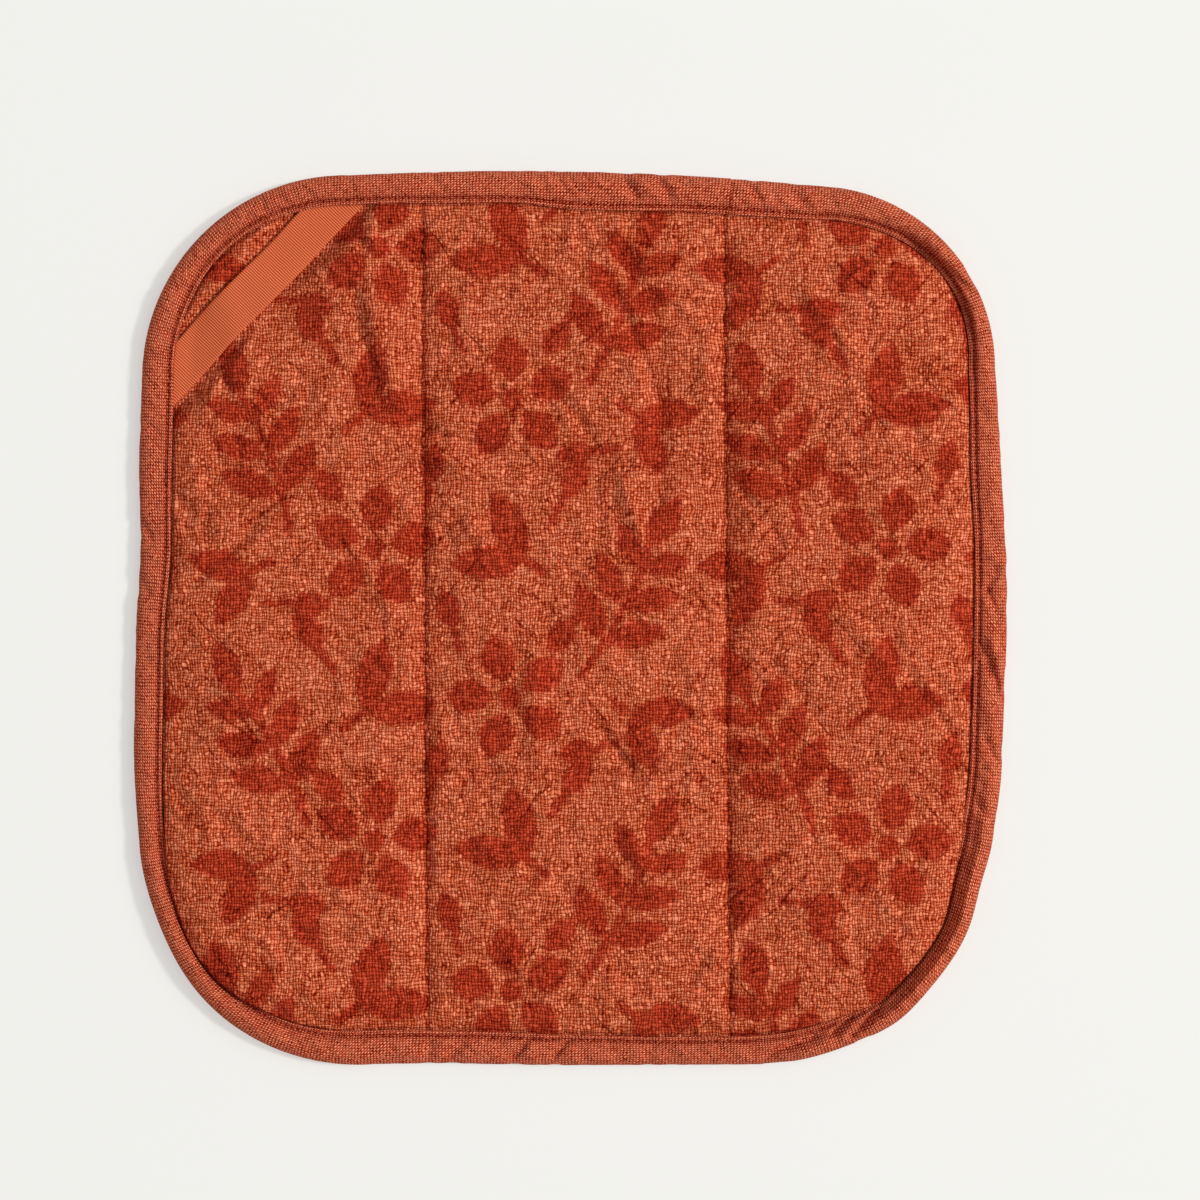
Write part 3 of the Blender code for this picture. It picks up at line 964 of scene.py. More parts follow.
@dataclass(frozen=True)
class HangingLoop:
    """A tape laid across the corner, its two ends tucked between pad and top flap.

    Places along it, the stations, are measured from where its middle thread comes out.
    """

    edge: Thicknesses
    finish: RibbedTape = RibbedTape()
    start: tuple[float, float] = (-0.0923, 0.0585)
    end: tuple[float, float] = (-0.0567, 0.0962)
    width: float = 0.0101
    thick: float = 0.0010
    tape_from: float = -0.0072
    tape_to: float = 0.0575
    tape_slant: float = 0.0049  # the ends are cut slantwise: the corner's side is shorter
    arch_from: float = 0.0032
    arch_to: float = 0.0481
    arch_slant: float = 0.0069
    high: float = 0.0053
    rise_share: float = 0.42
    fall_share: float = 0.50
    foot: float = 0.0008  # how far beside the tape the pad still stays under it
    follow: float = 0.72
    bank: float = 1.2
    hollow_floor: float = 0.0042
    hollow_radius: float = 0.0060
    hollow_shift: float = 0.0015
    hollow_bank: float = 0.35
    rows: int = 150
    flat_columns: int = 22
    round_columns: int = 5
    sway: float = 0.00025
    sway_length: float = 0.0075
    ripple: float = 0.0003
    ripple_length: float = 0.009
    ripple_width: float = 0.008
    freed: float = 0.010  # way over which the arch gets free of the flap
    folds: tuple[Fold, ...] = (
        Fold(-0.0945, 0.0553, -0.0893, 0.0618, -0.0004, 0.0009, lean=0.3),
        Fold(-0.0640, 0.0935, -0.0575, 0.0905, -0.0003, 0.0010),
    )

    @property
    def low(self) -> float:
        """Height of the tape's underside where it is tucked."""
        return self.edge.ceiling - self.edge.gap - self.thick

    @cached_property
    def frame(self) -> tuple[Array, Array]:
        """The tape's direction, and the normal towards the corner."""
        way = np.array(self.end) - np.array(self.start)
        along = way / np.linalg.norm(way)
        return along, np.array((-along[1], along[0]))

    def underside(self, station: Array, across: Array) -> Array:
        """Work out the arch: low where tucked, a short rise, and a long fall that starts near the rise.

        Each thread has its own arch, from its place 0 to 1, shorter towards the corner.

        Args:
            station: Places along the tape.
            across: Places across it, from its middle towards the corner.

        Returns:
            Heights of the tape's underside.
        """
        side = np.clip(across / (self.width / 2.0), -1.0, 1.0)
        start = self.arch_from + side * self.arch_slant
        end = self.arch_to - side * self.arch_slant
        place = (station - start) / (end - start)
        arch = soft_step(place / self.rise_share) * soft_step((1.0 - place) / self.fall_share)
        return self.low + (self.high - self.low) * arch

    def limit(self, x: Array, y: Array) -> Array:
        """Work out the most that the pad may rise: a strip below the tape, and a hollow under its arch.

        Args:
            x: Places on the pad.
            y: Places on the pad.

        Returns:
            The lesser height of strip and hollow.
        """
        along, outward = self.frame
        from_start = np.stack([x, y], axis=-1) - np.array(self.start)
        station = from_start @ along
        across = from_start @ outward
        beside = np.clip(np.abs(across) - self.width / 2.0 - self.foot, 0.0, None)
        arch = self.follow * (self.underside(station, across) - self.low)
        strip = self.low - self.edge.gap + arch + self.bank * beside
        away = np.hypot(station - (self.arch_from + self.arch_to) / 2.0, across + self.hollow_shift)
        hollow = self.hollow_floor + self.hollow_bank * np.clip(away - self.hollow_radius, 0.0, None)
        return np.minimum(strip, hollow)

    def section(self) -> tuple[Array, Array, Array]:
        """Trace the tape's section: flat faces joined by half circles at both selvedges.

        Returns:
            Places across, heights from its middle, and the way round it, which has one entry more.
        """
        half_thick = self.thick / 2.0
        half_flat = self.width / 2.0 - half_thick
        flat = np.linspace(half_flat, -half_flat, self.flat_columns)
        bend = np.radians(np.linspace(90.0, 270.0, self.round_columns + 2)[1:-1])
        left = -half_flat + half_thick * np.cos(bend)
        top = np.full(len(flat), half_thick)
        across = np.concatenate([flat, left, -flat, -left])
        up = np.concatenate([top, half_thick * np.sin(bend), -top, -half_thick * np.sin(bend)])
        steps = np.hypot(np.roll(across, -1) - across, np.roll(up, -1) - up)
        return across, up, np.concatenate([[0.0], np.cumsum(steps)])

    def build(self) -> bpy.types.Object:
        """Carry the section along the arch, with a small sway and tilt, and close both ends.

        Returns:
            The tape.
        """
        across, up, way = self.section()
        share = np.linspace(0.0, 1.0, self.rows)[:, None]
        side = across / (self.width / 2.0)
        first = self.tape_from + side * self.tape_slant
        last = self.tape_to - side * self.tape_slant
        station = first + (last - first) * share
        across = np.broadcast_to(across, station.shape)
        from_start, to_end = station - self.arch_from, self.arch_to - station
        free = soft_step(from_start / self.freed) * soft_step(to_end / self.freed)
        drift = across + self.sway * free * np.sin(station / self.sway_length)
        along, outward = self.frame
        x = self.start[0] + along[0] * station + outward[0] * drift
        y = self.start[1] + along[1] * station + outward[1] * drift
        tilt = self.ripple * Unevenness(71).at(station / self.ripple_length, across / self.ripple_width)
        uneven = free * (tilt + folds_at(self.folds, x, y))
        z = self.underside(station, across) + self.thick / 2.0 + up + uneven
        along_tape = np.concatenate([station, station[:, :1]], axis=1)
        skin = carried(np.stack([x, y, z], axis=-1), along_tape, way, close_rows=False)
        tape = skin.to_object("loop_tape")
        tape.data.materials.append(self.finish.material())
        return tape


# Bound edge


@dataclass(frozen=True)
class EdgeBinding:
    """The bias strip: a folded section carried once round the outline, with its puckers and lap."""

    outline: Outline
    edge: Thicknesses
    finish: BiasStrip = BiasStrip()
    stations: int = 1200
    top_columns: int = 27
    fold_columns: int = 17
    under_columns: int = 7
    fold_round: float = 0.0027
    fold_thick: float = 0.0011
    crest_share: float = 0.33
    fold_lift: float = 0.4
    seam_inset: float = 0.0012  # of the stitches, from the flap's inner edge
    seam_depth: float = 0.00080
    seam_half_width: float = 0.00045
    under_seam_depth: float = 0.0003
    under_crumple: float = 0.0002
    crumple_length: float = 0.006
    pillow: float = 0.00035
    edge_round: float = 0.0004
    edge_round_width: float = 0.0006
    valley_width: float = 0.0030
    inner_lift: float = 0.8  # share of a corner's roll that the top flap's inner face takes at its crest
    still_share: float = 0.35  # of the unevenness, which the stitches leave to the flap's inner edge
    still_from: float = 0.0008
    still_width: float = 0.0022
    extra_lift: float = 1.9  # the rolled corners stand this much higher than the solid's
    lap_x: float = 0.0380  # the strip's end lies over its start here, on the far side
    lap_height: float = 0.0010
    lap_length: float = 0.0070
    lap_gap: float = 0.0005  # depth and width of the gap before the lap
    lap_stations: tuple[float, ...] = (0.0013, 0.0009, 0.0006, 0.0003, 0.0001)  # closer ones before the lap
    pucker: float = 0.00052
    pucker_length: float = 0.011  # these two along coordinates that run sqrt(2) too fast
    pucker_pitch: float = 0.0032
    stray_length: float = 0.013
    fine_share: float = 0.3
    fine_length: float = 0.0030
    fold_strength: float = 2.0
    bulge_out: float = 0.2  # share of a pucker that also shows in the outline
    most_out: float = 0.00010
    strip_width: float = 0.0215
    folds: tuple[Fold, ...] = (  # start, end, height and half width
        # Far right corner: a deep crease between inner edge and rolled outer half
        Fold(0.0765, 0.0922, 0.0978, 0.0738, -0.0014, 0.0011, lean=0.2, end_share=0.3),
        Fold(0.0800, 0.0925, 0.0985, 0.0765, 0.0002, 0.0015),
        # Right side
        Fold(0.1013, 0.0134, 0.0972, 0.0050, -0.0006, 0.0010),
        Fold(0.0968, 0.0085, 0.1014, -0.0010, -0.0006, 0.0008),
        Fold(0.0958, -0.0045, 0.1012, -0.0190, -0.0015, 0.0010, lean=-0.3),
        Fold(0.0980, -0.0025, 0.1022, -0.0150, 0.0008, 0.0014),
        Fold(0.1025, -0.0062, 0.0985, -0.0105, -0.0006, 0.0007),
        Fold(0.0962, -0.0170, 0.1002, -0.0262, 0.0004, 0.0015),
        Fold(0.0968, -0.0265, 0.1005, -0.0345, -0.0008, 0.0010),
        Fold(0.0940, -0.0400, 0.0985, -0.0480, -0.0005, 0.0012),
        Fold(0.0985, 0.0235, 0.1010, 0.0165, -0.0004, 0.0012),
        Fold(0.0960, 0.0520, 0.1000, 0.0430, -0.0003, 0.0014),
        # Far side
        Fold(0.0118, 0.1048, 0.0166, 0.0975, -0.0008, 0.0010),
        Fold(0.0158, 0.1048, 0.0205, 0.0978, 0.0004, 0.0012),
        Fold(0.0196, 0.1045, 0.0248, 0.0968, -0.0007, 0.0010),
        Fold(-0.0050, 0.1050, 0.0000, 0.0985, -0.0003, 0.0013),
        Fold(0.0415, 0.1018, 0.0455, 0.0975, -0.0004, 0.0009),
        Fold(0.0520, 0.1005, 0.0570, 0.0950, -0.0003, 0.0012),
        Fold(-0.0335, 0.1040, -0.0290, 0.0985, -0.0003, 0.0014),
        Fold(-0.0730, 0.1002, -0.0712, 0.0945, -0.0004, 0.0004),
        # Left side
        Fold(-0.1018, 0.0245, -0.0978, 0.0175, -0.0007, 0.0008),
        Fold(-0.1022, 0.0100, -0.0985, 0.0040, -0.0005, 0.0010),
        Fold(-0.1015, -0.0035, -0.0985, -0.0115, -0.0003, 0.0014),
        Fold(-0.1010, 0.0480, -0.0965, 0.0410, -0.0003, 0.0014),
        Fold(-0.0925, 0.0800, -0.0880, 0.0745, -0.0003, 0.0012),
        # Near side
        Fold(-0.0090, -0.0975, -0.0145, -0.1050, -0.0010, 0.0008),
        Fold(0.0004, -0.0975, -0.0053, -0.1050, -0.0010, 0.0008),
        Fold(-0.0240, -0.0990, -0.0300, -0.1040, -0.0005, 0.0011),
        Fold(-0.0336, -0.0985, -0.0332, -0.1045, -0.0004, 0.0011),
        Fold(-0.0520, -0.0965, -0.0590, -0.0990, -0.0006, 0.0010),
        Fold(0.0200, -0.0990, 0.0170, -0.1050, -0.0003, 0.0014),
        # Near right corner: the strip laps over itself slantwise, then rolls under the swollen pad
        Fold(0.0430, -0.1042, 0.0615, -0.0968, -0.0015, 0.0008, bow=0.0005, lean=0.3),
        Fold(0.0470, -0.1048, 0.0640, -0.0985, 0.0006, 0.0014, lean=0.4),
        Fold(0.0612, -0.0985, 0.0672, -0.0925, -0.0012, 0.0008),
        Fold(0.0630, -0.1008, 0.0745, -0.0895, -0.0014, 0.0007, bow=-0.0006),
        Fold(0.0625, -0.0985, 0.0725, -0.0905, 0.0006, 0.0010),
        Fold(0.0700, -0.0915, 0.0830, -0.0790, -0.0008, 0.0012),
    )

    @cached_property
    def track(self) -> tuple[Array, Array]:
        """The way along the outline from the lap, and its points, the first one again at the end."""
        points = self.outline.points
        far = points[:, 1] > 0.0
        first = np.argmin(np.where(far, np.abs(points[:, 0] - self.lap_x), 1.0))
        points = np.roll(points, -first, axis=0)
        closed = np.concatenate([points, points[:1]])
        steps = np.linalg.norm(np.diff(closed, axis=0), axis=1)
        return np.concatenate([[0.0], np.cumsum(steps)]), closed

    @property
    def length(self) -> float:
        """Length of the outline."""
        return float(self.track[0][-1])

    def on_track(self, way: Array) -> tuple[Array, Array]:
        """Return the outline's points, and its inward normals, that far from the lap."""
        stops, closed = self.track
        normals = self.outline.inward(closed[:-1])
        normals = np.concatenate([normals, normals[:1]])
        point = np.stack([np.interp(way, stops, closed[:, axis]) for axis in (0, 1)], axis=-1)
        normal = np.stack([np.interp(way, stops, normals[:, axis]) for axis in (0, 1)], axis=-1)
        return point, normal / np.linalg.norm(normal, axis=-1, keepdims=True)

    def unevenness(self, way: Array, x: Array, y: Array) -> Array:
        """Work out the strip's folds, its soft slanting puckers and the step of its lap.

        The puckers are noise stretched along the slant from -X +Y to +X -Y. The lap is a sudden step
        that dies away as exp(-(way / length)) over the strip's end, with a narrow gap before it.

        Args:
            way: Places along the outline, from the lap.
            x: Places on the face.
            y: Places on the face.

        Returns:
            Heights to add to the flap's top.
        """
        slant, across = (x - y) / self.pucker_length, (x + y) / self.pucker_pitch
        stray = 0.5 * Unevenness(31).at(x / self.stray_length, y / self.stray_length)
        fine = Unevenness(33).at(x / self.fine_length, y / self.fine_length)
        puckers = Unevenness(32).at(slant, across + stray) + self.fine_share * fine
        gap = self.lap_gap * bell(self.length - way, self.lap_gap)
        step = self.lap_height * np.exp(-way / self.lap_length) - gap
        return self.fold_strength * folds_at(self.folds, x, y) + self.pucker * puckers + step

    def flap_top(self, way: Array, depth: Array, width: Array, x: Array, y: Array) -> Array:
        """Work out the top flap's height away from the fold.

        It is the bound thickness plus the corner's roll, a soft pillow between stitches and fold and
        the unevenness, less the stitched groove, the rounded inner edge and the valley by a swollen pad.

        Args:
            way: Places along the outline.
            depth: Places in from the outline.
            width: The flap's width there.
            x: The same places on the face.
            y: The same places on the face.

        Returns:
            The heights.
        """
        angle = np.arctan2(y, x)
        roll = self.extra_lift * self.outline.rolled(angle, depth / width)
        inside = width - depth
        pillow = self.pillow * np.sin(np.pi * np.clip(depth / (width - self.seam_inset), 0.0, 1.0))
        groove = self.seam_depth * bell(inside - self.seam_inset, self.seam_half_width)
        rounding = self.edge_round * (1.0 - soft_step(inside / self.edge_round_width))
        sunk = self.edge.sunk * self.outline.over_rolls(angle, "sink")
        valley = sunk * (1.0 - soft_step(inside / self.valley_width))
        rise = soft_step((inside - self.still_from) / self.still_width)
        free = self.still_share + (1.0 - self.still_share) * rise
        height = self.edge.bound + roll + pillow - groove - rounding - valley
        return height + free * self.unevenness(way, x, y)

    def build(self) -> bpy.types.Object:
        """Carry the section round: top flap, round fold, lower flap, and the faces turned to the pad.

        The round fold is m + (t - m) sin(turn), t being the flap's top at each place and m the fold's
        middle; below the middle it is m + m sin(turn), which ends on the surface below.

        Returns:
            The binding.
        """
        even = np.linspace(0.0, self.length, self.stations, endpoint=False)
        way = np.sort(np.concatenate([even, self.length - np.array(self.lap_stations)]))[:, None]
        point, normal = self.on_track(way[:, 0])
        angle = np.arctan2(point[:, 1], point[:, 0])[:, None]
        width = self.outline.flap(angle)
        lift = self.outline.over_rolls(angle, "lift")
        sunk = self.edge.sunk * self.outline.over_rolls(angle, "sink")
        share = np.linspace(0.0, 1.0, self.top_columns)[None, :-1]
        top_depth = width + (self.fold_round - width) * share
        turn = np.radians(np.linspace(90.0, -90.0, self.fold_columns))[None, :]
        fold_depth = self.fold_round * (1.0 - np.cos(turn))
        under_share = np.linspace(0.0, 1.0, self.under_columns)[None, 1:]
        under_depth = self.fold_round + (width - self.fold_round) * under_share

        def on_face(depth: Array) -> tuple[Array, Array]:
            """Return x and y at each depth in from the outline."""
            x = point[:, :1] + normal[:, :1] * depth
            return x, point[:, 1:] + normal[:, 1:] * depth

        top = self.flap_top(way, top_depth, width, *on_face(top_depth))
        fold_top = self.flap_top(way, fold_depth, width, *on_face(fold_depth))
        middle = self.edge.bound / 2.0 + self.fold_lift * lift
        rise = np.where(turn > 0.0, fold_top - middle, middle)
        fold = middle + rise * np.sin(turn)
        bulge = self.bulge_out * (fold_top[:, :1] - self.edge.bound - lift)
        out = np.clip(bulge, -self.most_out, self.most_out) * np.cos(turn)
        x, y = on_face(under_depth)
        uneven = Unevenness(34).at(x / self.crumple_length, y / self.crumple_length)
        crumple = self.under_crumple * np.clip(uneven, 0.0, 1.0)
        groove = self.under_seam_depth * bell(width - under_depth - self.seam_inset, self.seam_half_width)
        under = (crumple + groove) * soft_step((width - under_depth) / self.edge_round_width)
        strip, ceiling = self.edge.strip, self.edge.ceiling
        crest, back = self.crest_share * width, np.full_like(width, self.fold_thick)
        inner_depth = np.concatenate([width, crest, back, crest, 0.5 * width, width], axis=1)
        flat = np.full_like(width, strip)
        roof = np.full_like(width, ceiling)
        high = roof + self.inner_lift * lift - sunk
        inner = np.concatenate([flat, flat, middle, high, roof - sunk, roof - sunk], axis=1)
        depth = np.concatenate([top_depth, fold_depth - out, under_depth, inner_depth], axis=1)
        z = np.concatenate([top, fold, under, inner], axis=1)
        x, y = on_face(depth)
        steps = np.hypot(np.diff(depth, axis=1).mean(axis=0), np.diff(z, axis=1).mean(axis=0))
        across = np.concatenate([[0.0], np.cumsum(steps), [steps.sum() + strip]])
        along = np.broadcast_to(np.append(way[:, 0], self.length)[:, None], (len(way) + 1, len(across)))
        skin = carried(np.stack([x, y, z], axis=-1), along, across, close_rows=True)
        binding = skin.to_object("bias_binding")
        # painted shade: the way off the stitched groove, cut short near the lap, which the strip's material
        # darkens as the shade in the groove and in the gap before the lap
        off_shaded_line = np.ones(depth.shape)
        to_lap = np.minimum(way, self.length - way)
        off_shaded_line[:, : top_depth.shape[1]] = np.minimum(np.abs(width - top_depth - self.seam_inset), to_lap)
        hold(binding, "seam", off_shaded_line)
        binding.data.materials.append(self.finish.material())
        return binding


# Print


class Motif(Enum):
    """The blocks of the print."""

    SPRIG = "sprig"
    BLOSSOM = "blossom"
    LEAF_PAIR = "leaf pair"
    BUD = "bud"


@dataclass(frozen=True)
class Stamp:
    """Where one block is pressed within the repeat."""

    motif: Motif
    x: float
    y: float
    turn_deg: float
    size: float = 1.0


def leaf(
    x: Array, y: Array, base: tuple[float, float], turn_deg: float, length: float, half_width: float
) -> Array:
    """Work out the way to an almond-shaped leaf, whose half width is w (1 - s^2), s running from -1 to 1.

    Args:
        x: Places.
        y: Places.
        base: Where the leaf starts.
        turn_deg: Its direction from +Y, clockwise.
        length: Its length.
        half_width: Half its width.

    Returns:
        About the distance to its edge, below zero inside.
    """
    turn = np.radians(turn_deg)
    along = (x - base[0]) * np.sin(turn) + (y - base[1]) * np.cos(turn)
    across = (x - base[0]) * np.cos(turn) - (y - base[1]) * np.sin(turn)
    share = 2.0 * along / length - 1.0
    past = np.clip(np.abs(share) - 1.0, 0.0, None) * length / 2.0
    beside = np.abs(across) - half_width * (1.0 - np.clip(share, -1.0, 1.0) ** 2)
    return np.where(past > 0.0, np.hypot(past, np.clip(beside, 0.0, None)), beside)


def stalk(x: Array, y: Array, bottom: float, top: float, half_width: float, bow: float) -> Array:
    """Return about the distance to a bowed upright stroke, whose middle is bow (1 - s^2) off its line."""
    share = np.clip((y - bottom) / (top - bottom), 0.0, 1.0)
    past = y - (bottom + (top - bottom) * share)
    middle = bow * 4.0 * share * (1.0 - share)
    return np.hypot(x - middle, past) - half_width


@dataclass(frozen=True)
class BlockPrint:
    """A generic half-drop repeat of leaf sprigs, blossoms, leaf pairs and buds."""

    scale: float = 1.25
    repeat_x: float = 0.0480
    repeat_y: float = 0.0560
    columns: int = 2
    rows: int = 2
    jitter: float = 0.0008
    jitter_turn_deg: float = 7.0
    seed: int = 12
    stamps: tuple[Stamp, ...] = (
        Stamp(Motif.SPRIG, x=-0.0100, y=0.0050, turn_deg=-22, size=1.08),
        Stamp(Motif.BLOSSOM, x=0.0115, y=-0.0145, turn_deg=10, size=1.12),
        Stamp(Motif.LEAF_PAIR, x=0.0105, y=0.0120, turn_deg=52, size=1.15),
        Stamp(Motif.LEAF_PAIR, x=-0.0135, y=-0.0195, turn_deg=-120),
        Stamp(Motif.BUD, x=0.0015, y=-0.0020, turn_deg=140, size=1.1),
        Stamp(Motif.BUD, x=0.0000, y=0.0250, turn_deg=-35, size=1.2),
        Stamp(Motif.BUD, x=0.0225, y=0.0000, turn_deg=15, size=1.1),
        Stamp(Motif.BUD, x=-0.0020, y=-0.0255, turn_deg=95, size=1.1),
    )

    def block(self, motif: Motif, x: Array, y: Array) -> Array:
        """Work out the way to a block's edge.

        Args:
            motif: The block.
            x: Places in the block's own frame, upright.
            y: Places in its frame.

        Returns:
            About the distance, below zero inside.
        """
        if motif is Motif.SPRIG:
            shapes = [stalk(x, y, -0.0170, 0.0090, 0.0008, 0.0012)]
            shapes.append(leaf(x, y, (0.0, 0.0080), 4, 0.0105, 0.0026))
            for level, length in ((-0.0100, 0.0112), (-0.0030, 0.0104), (0.0040, 0.0090)):
                shapes += [leaf(x, y, (0.0006, level), way, length, 0.22 * length) for way in (52, -52)]
        elif motif is Motif.BLOSSOM:
            shapes = [np.hypot(x, y) - 0.0019]
            for way in range(0, 360, 72):
                start = 0.0027 * np.sin(np.radians(way)), 0.0027 * np.cos(np.radians(way))
                shapes.append(leaf(x, y, start, way, 0.0082, 0.0030))
        elif motif is Motif.LEAF_PAIR:
            shapes = [stalk(x, y, -0.0060, 0.0000, 0.0008, 0.0)]
            shapes += [leaf(x, y, (0.0, -0.0020), way, 0.0125, 0.0029) for way in (34, -34)]
        else:
            shapes = [stalk(x, y, -0.0060, -0.0020, 0.0007, 0.0)]
            shapes.append(leaf(x, y, (0.0, -0.0025), 0, 0.0075, 0.0022))
        return np.minimum.reduce(shapes)

    def distance(self, x: Array, y: Array) -> Array:
        """Press every block of the half-drop repeat, each a little off its place.

        Args:
            x: Places on the face.
            y: Places on the face.

        Returns:
            About the distance to the nearest printed edge, below zero on the print.
        """
        draw = np.random.default_rng(self.seed)
        x, y = x / self.scale, y / self.scale
        nearest = np.full(np.shape(x), 1.0)
        for column in range(-self.columns, self.columns + 1):
            mirror = 1.0 if column % 2 else -1.0
            for row in range(-self.rows, self.rows + 1):
                middle_x = column * self.repeat_x
                middle_y = (row + 0.5 * (column % 2)) * self.repeat_y
                for stamp in self.stamps:
                    off_x, off_y, off_turn = draw.uniform(-1.0, 1.0, 3)
                    turn = np.radians(mirror * stamp.turn_deg + off_turn * self.jitter_turn_deg)
                    dx = x - middle_x - mirror * stamp.x - off_x * self.jitter
                    dy = y - middle_y - stamp.y - off_y * self.jitter
                    own_x = (dx * np.cos(turn) - dy * np.sin(turn)) / stamp.size
                    own_y = (dx * np.sin(turn) + dy * np.cos(turn)) / stamp.size
                    nearest = np.minimum(nearest, stamp.size * self.block(stamp.motif, own_x, own_y))
        return nearest * self.scale


# Quilted pad


@dataclass(frozen=True)
class Crinkle:
    """A layer of slanting creases in the linen, gathered in patches."""

    turn_deg: float
    length: float
    pitch: float
    height: float
    seed: int


@dataclass(frozen=True)
class Wave:
    """A layer of soft humps in the linen."""

    height: float
    length_x: float
    length_y: float
    seed: int


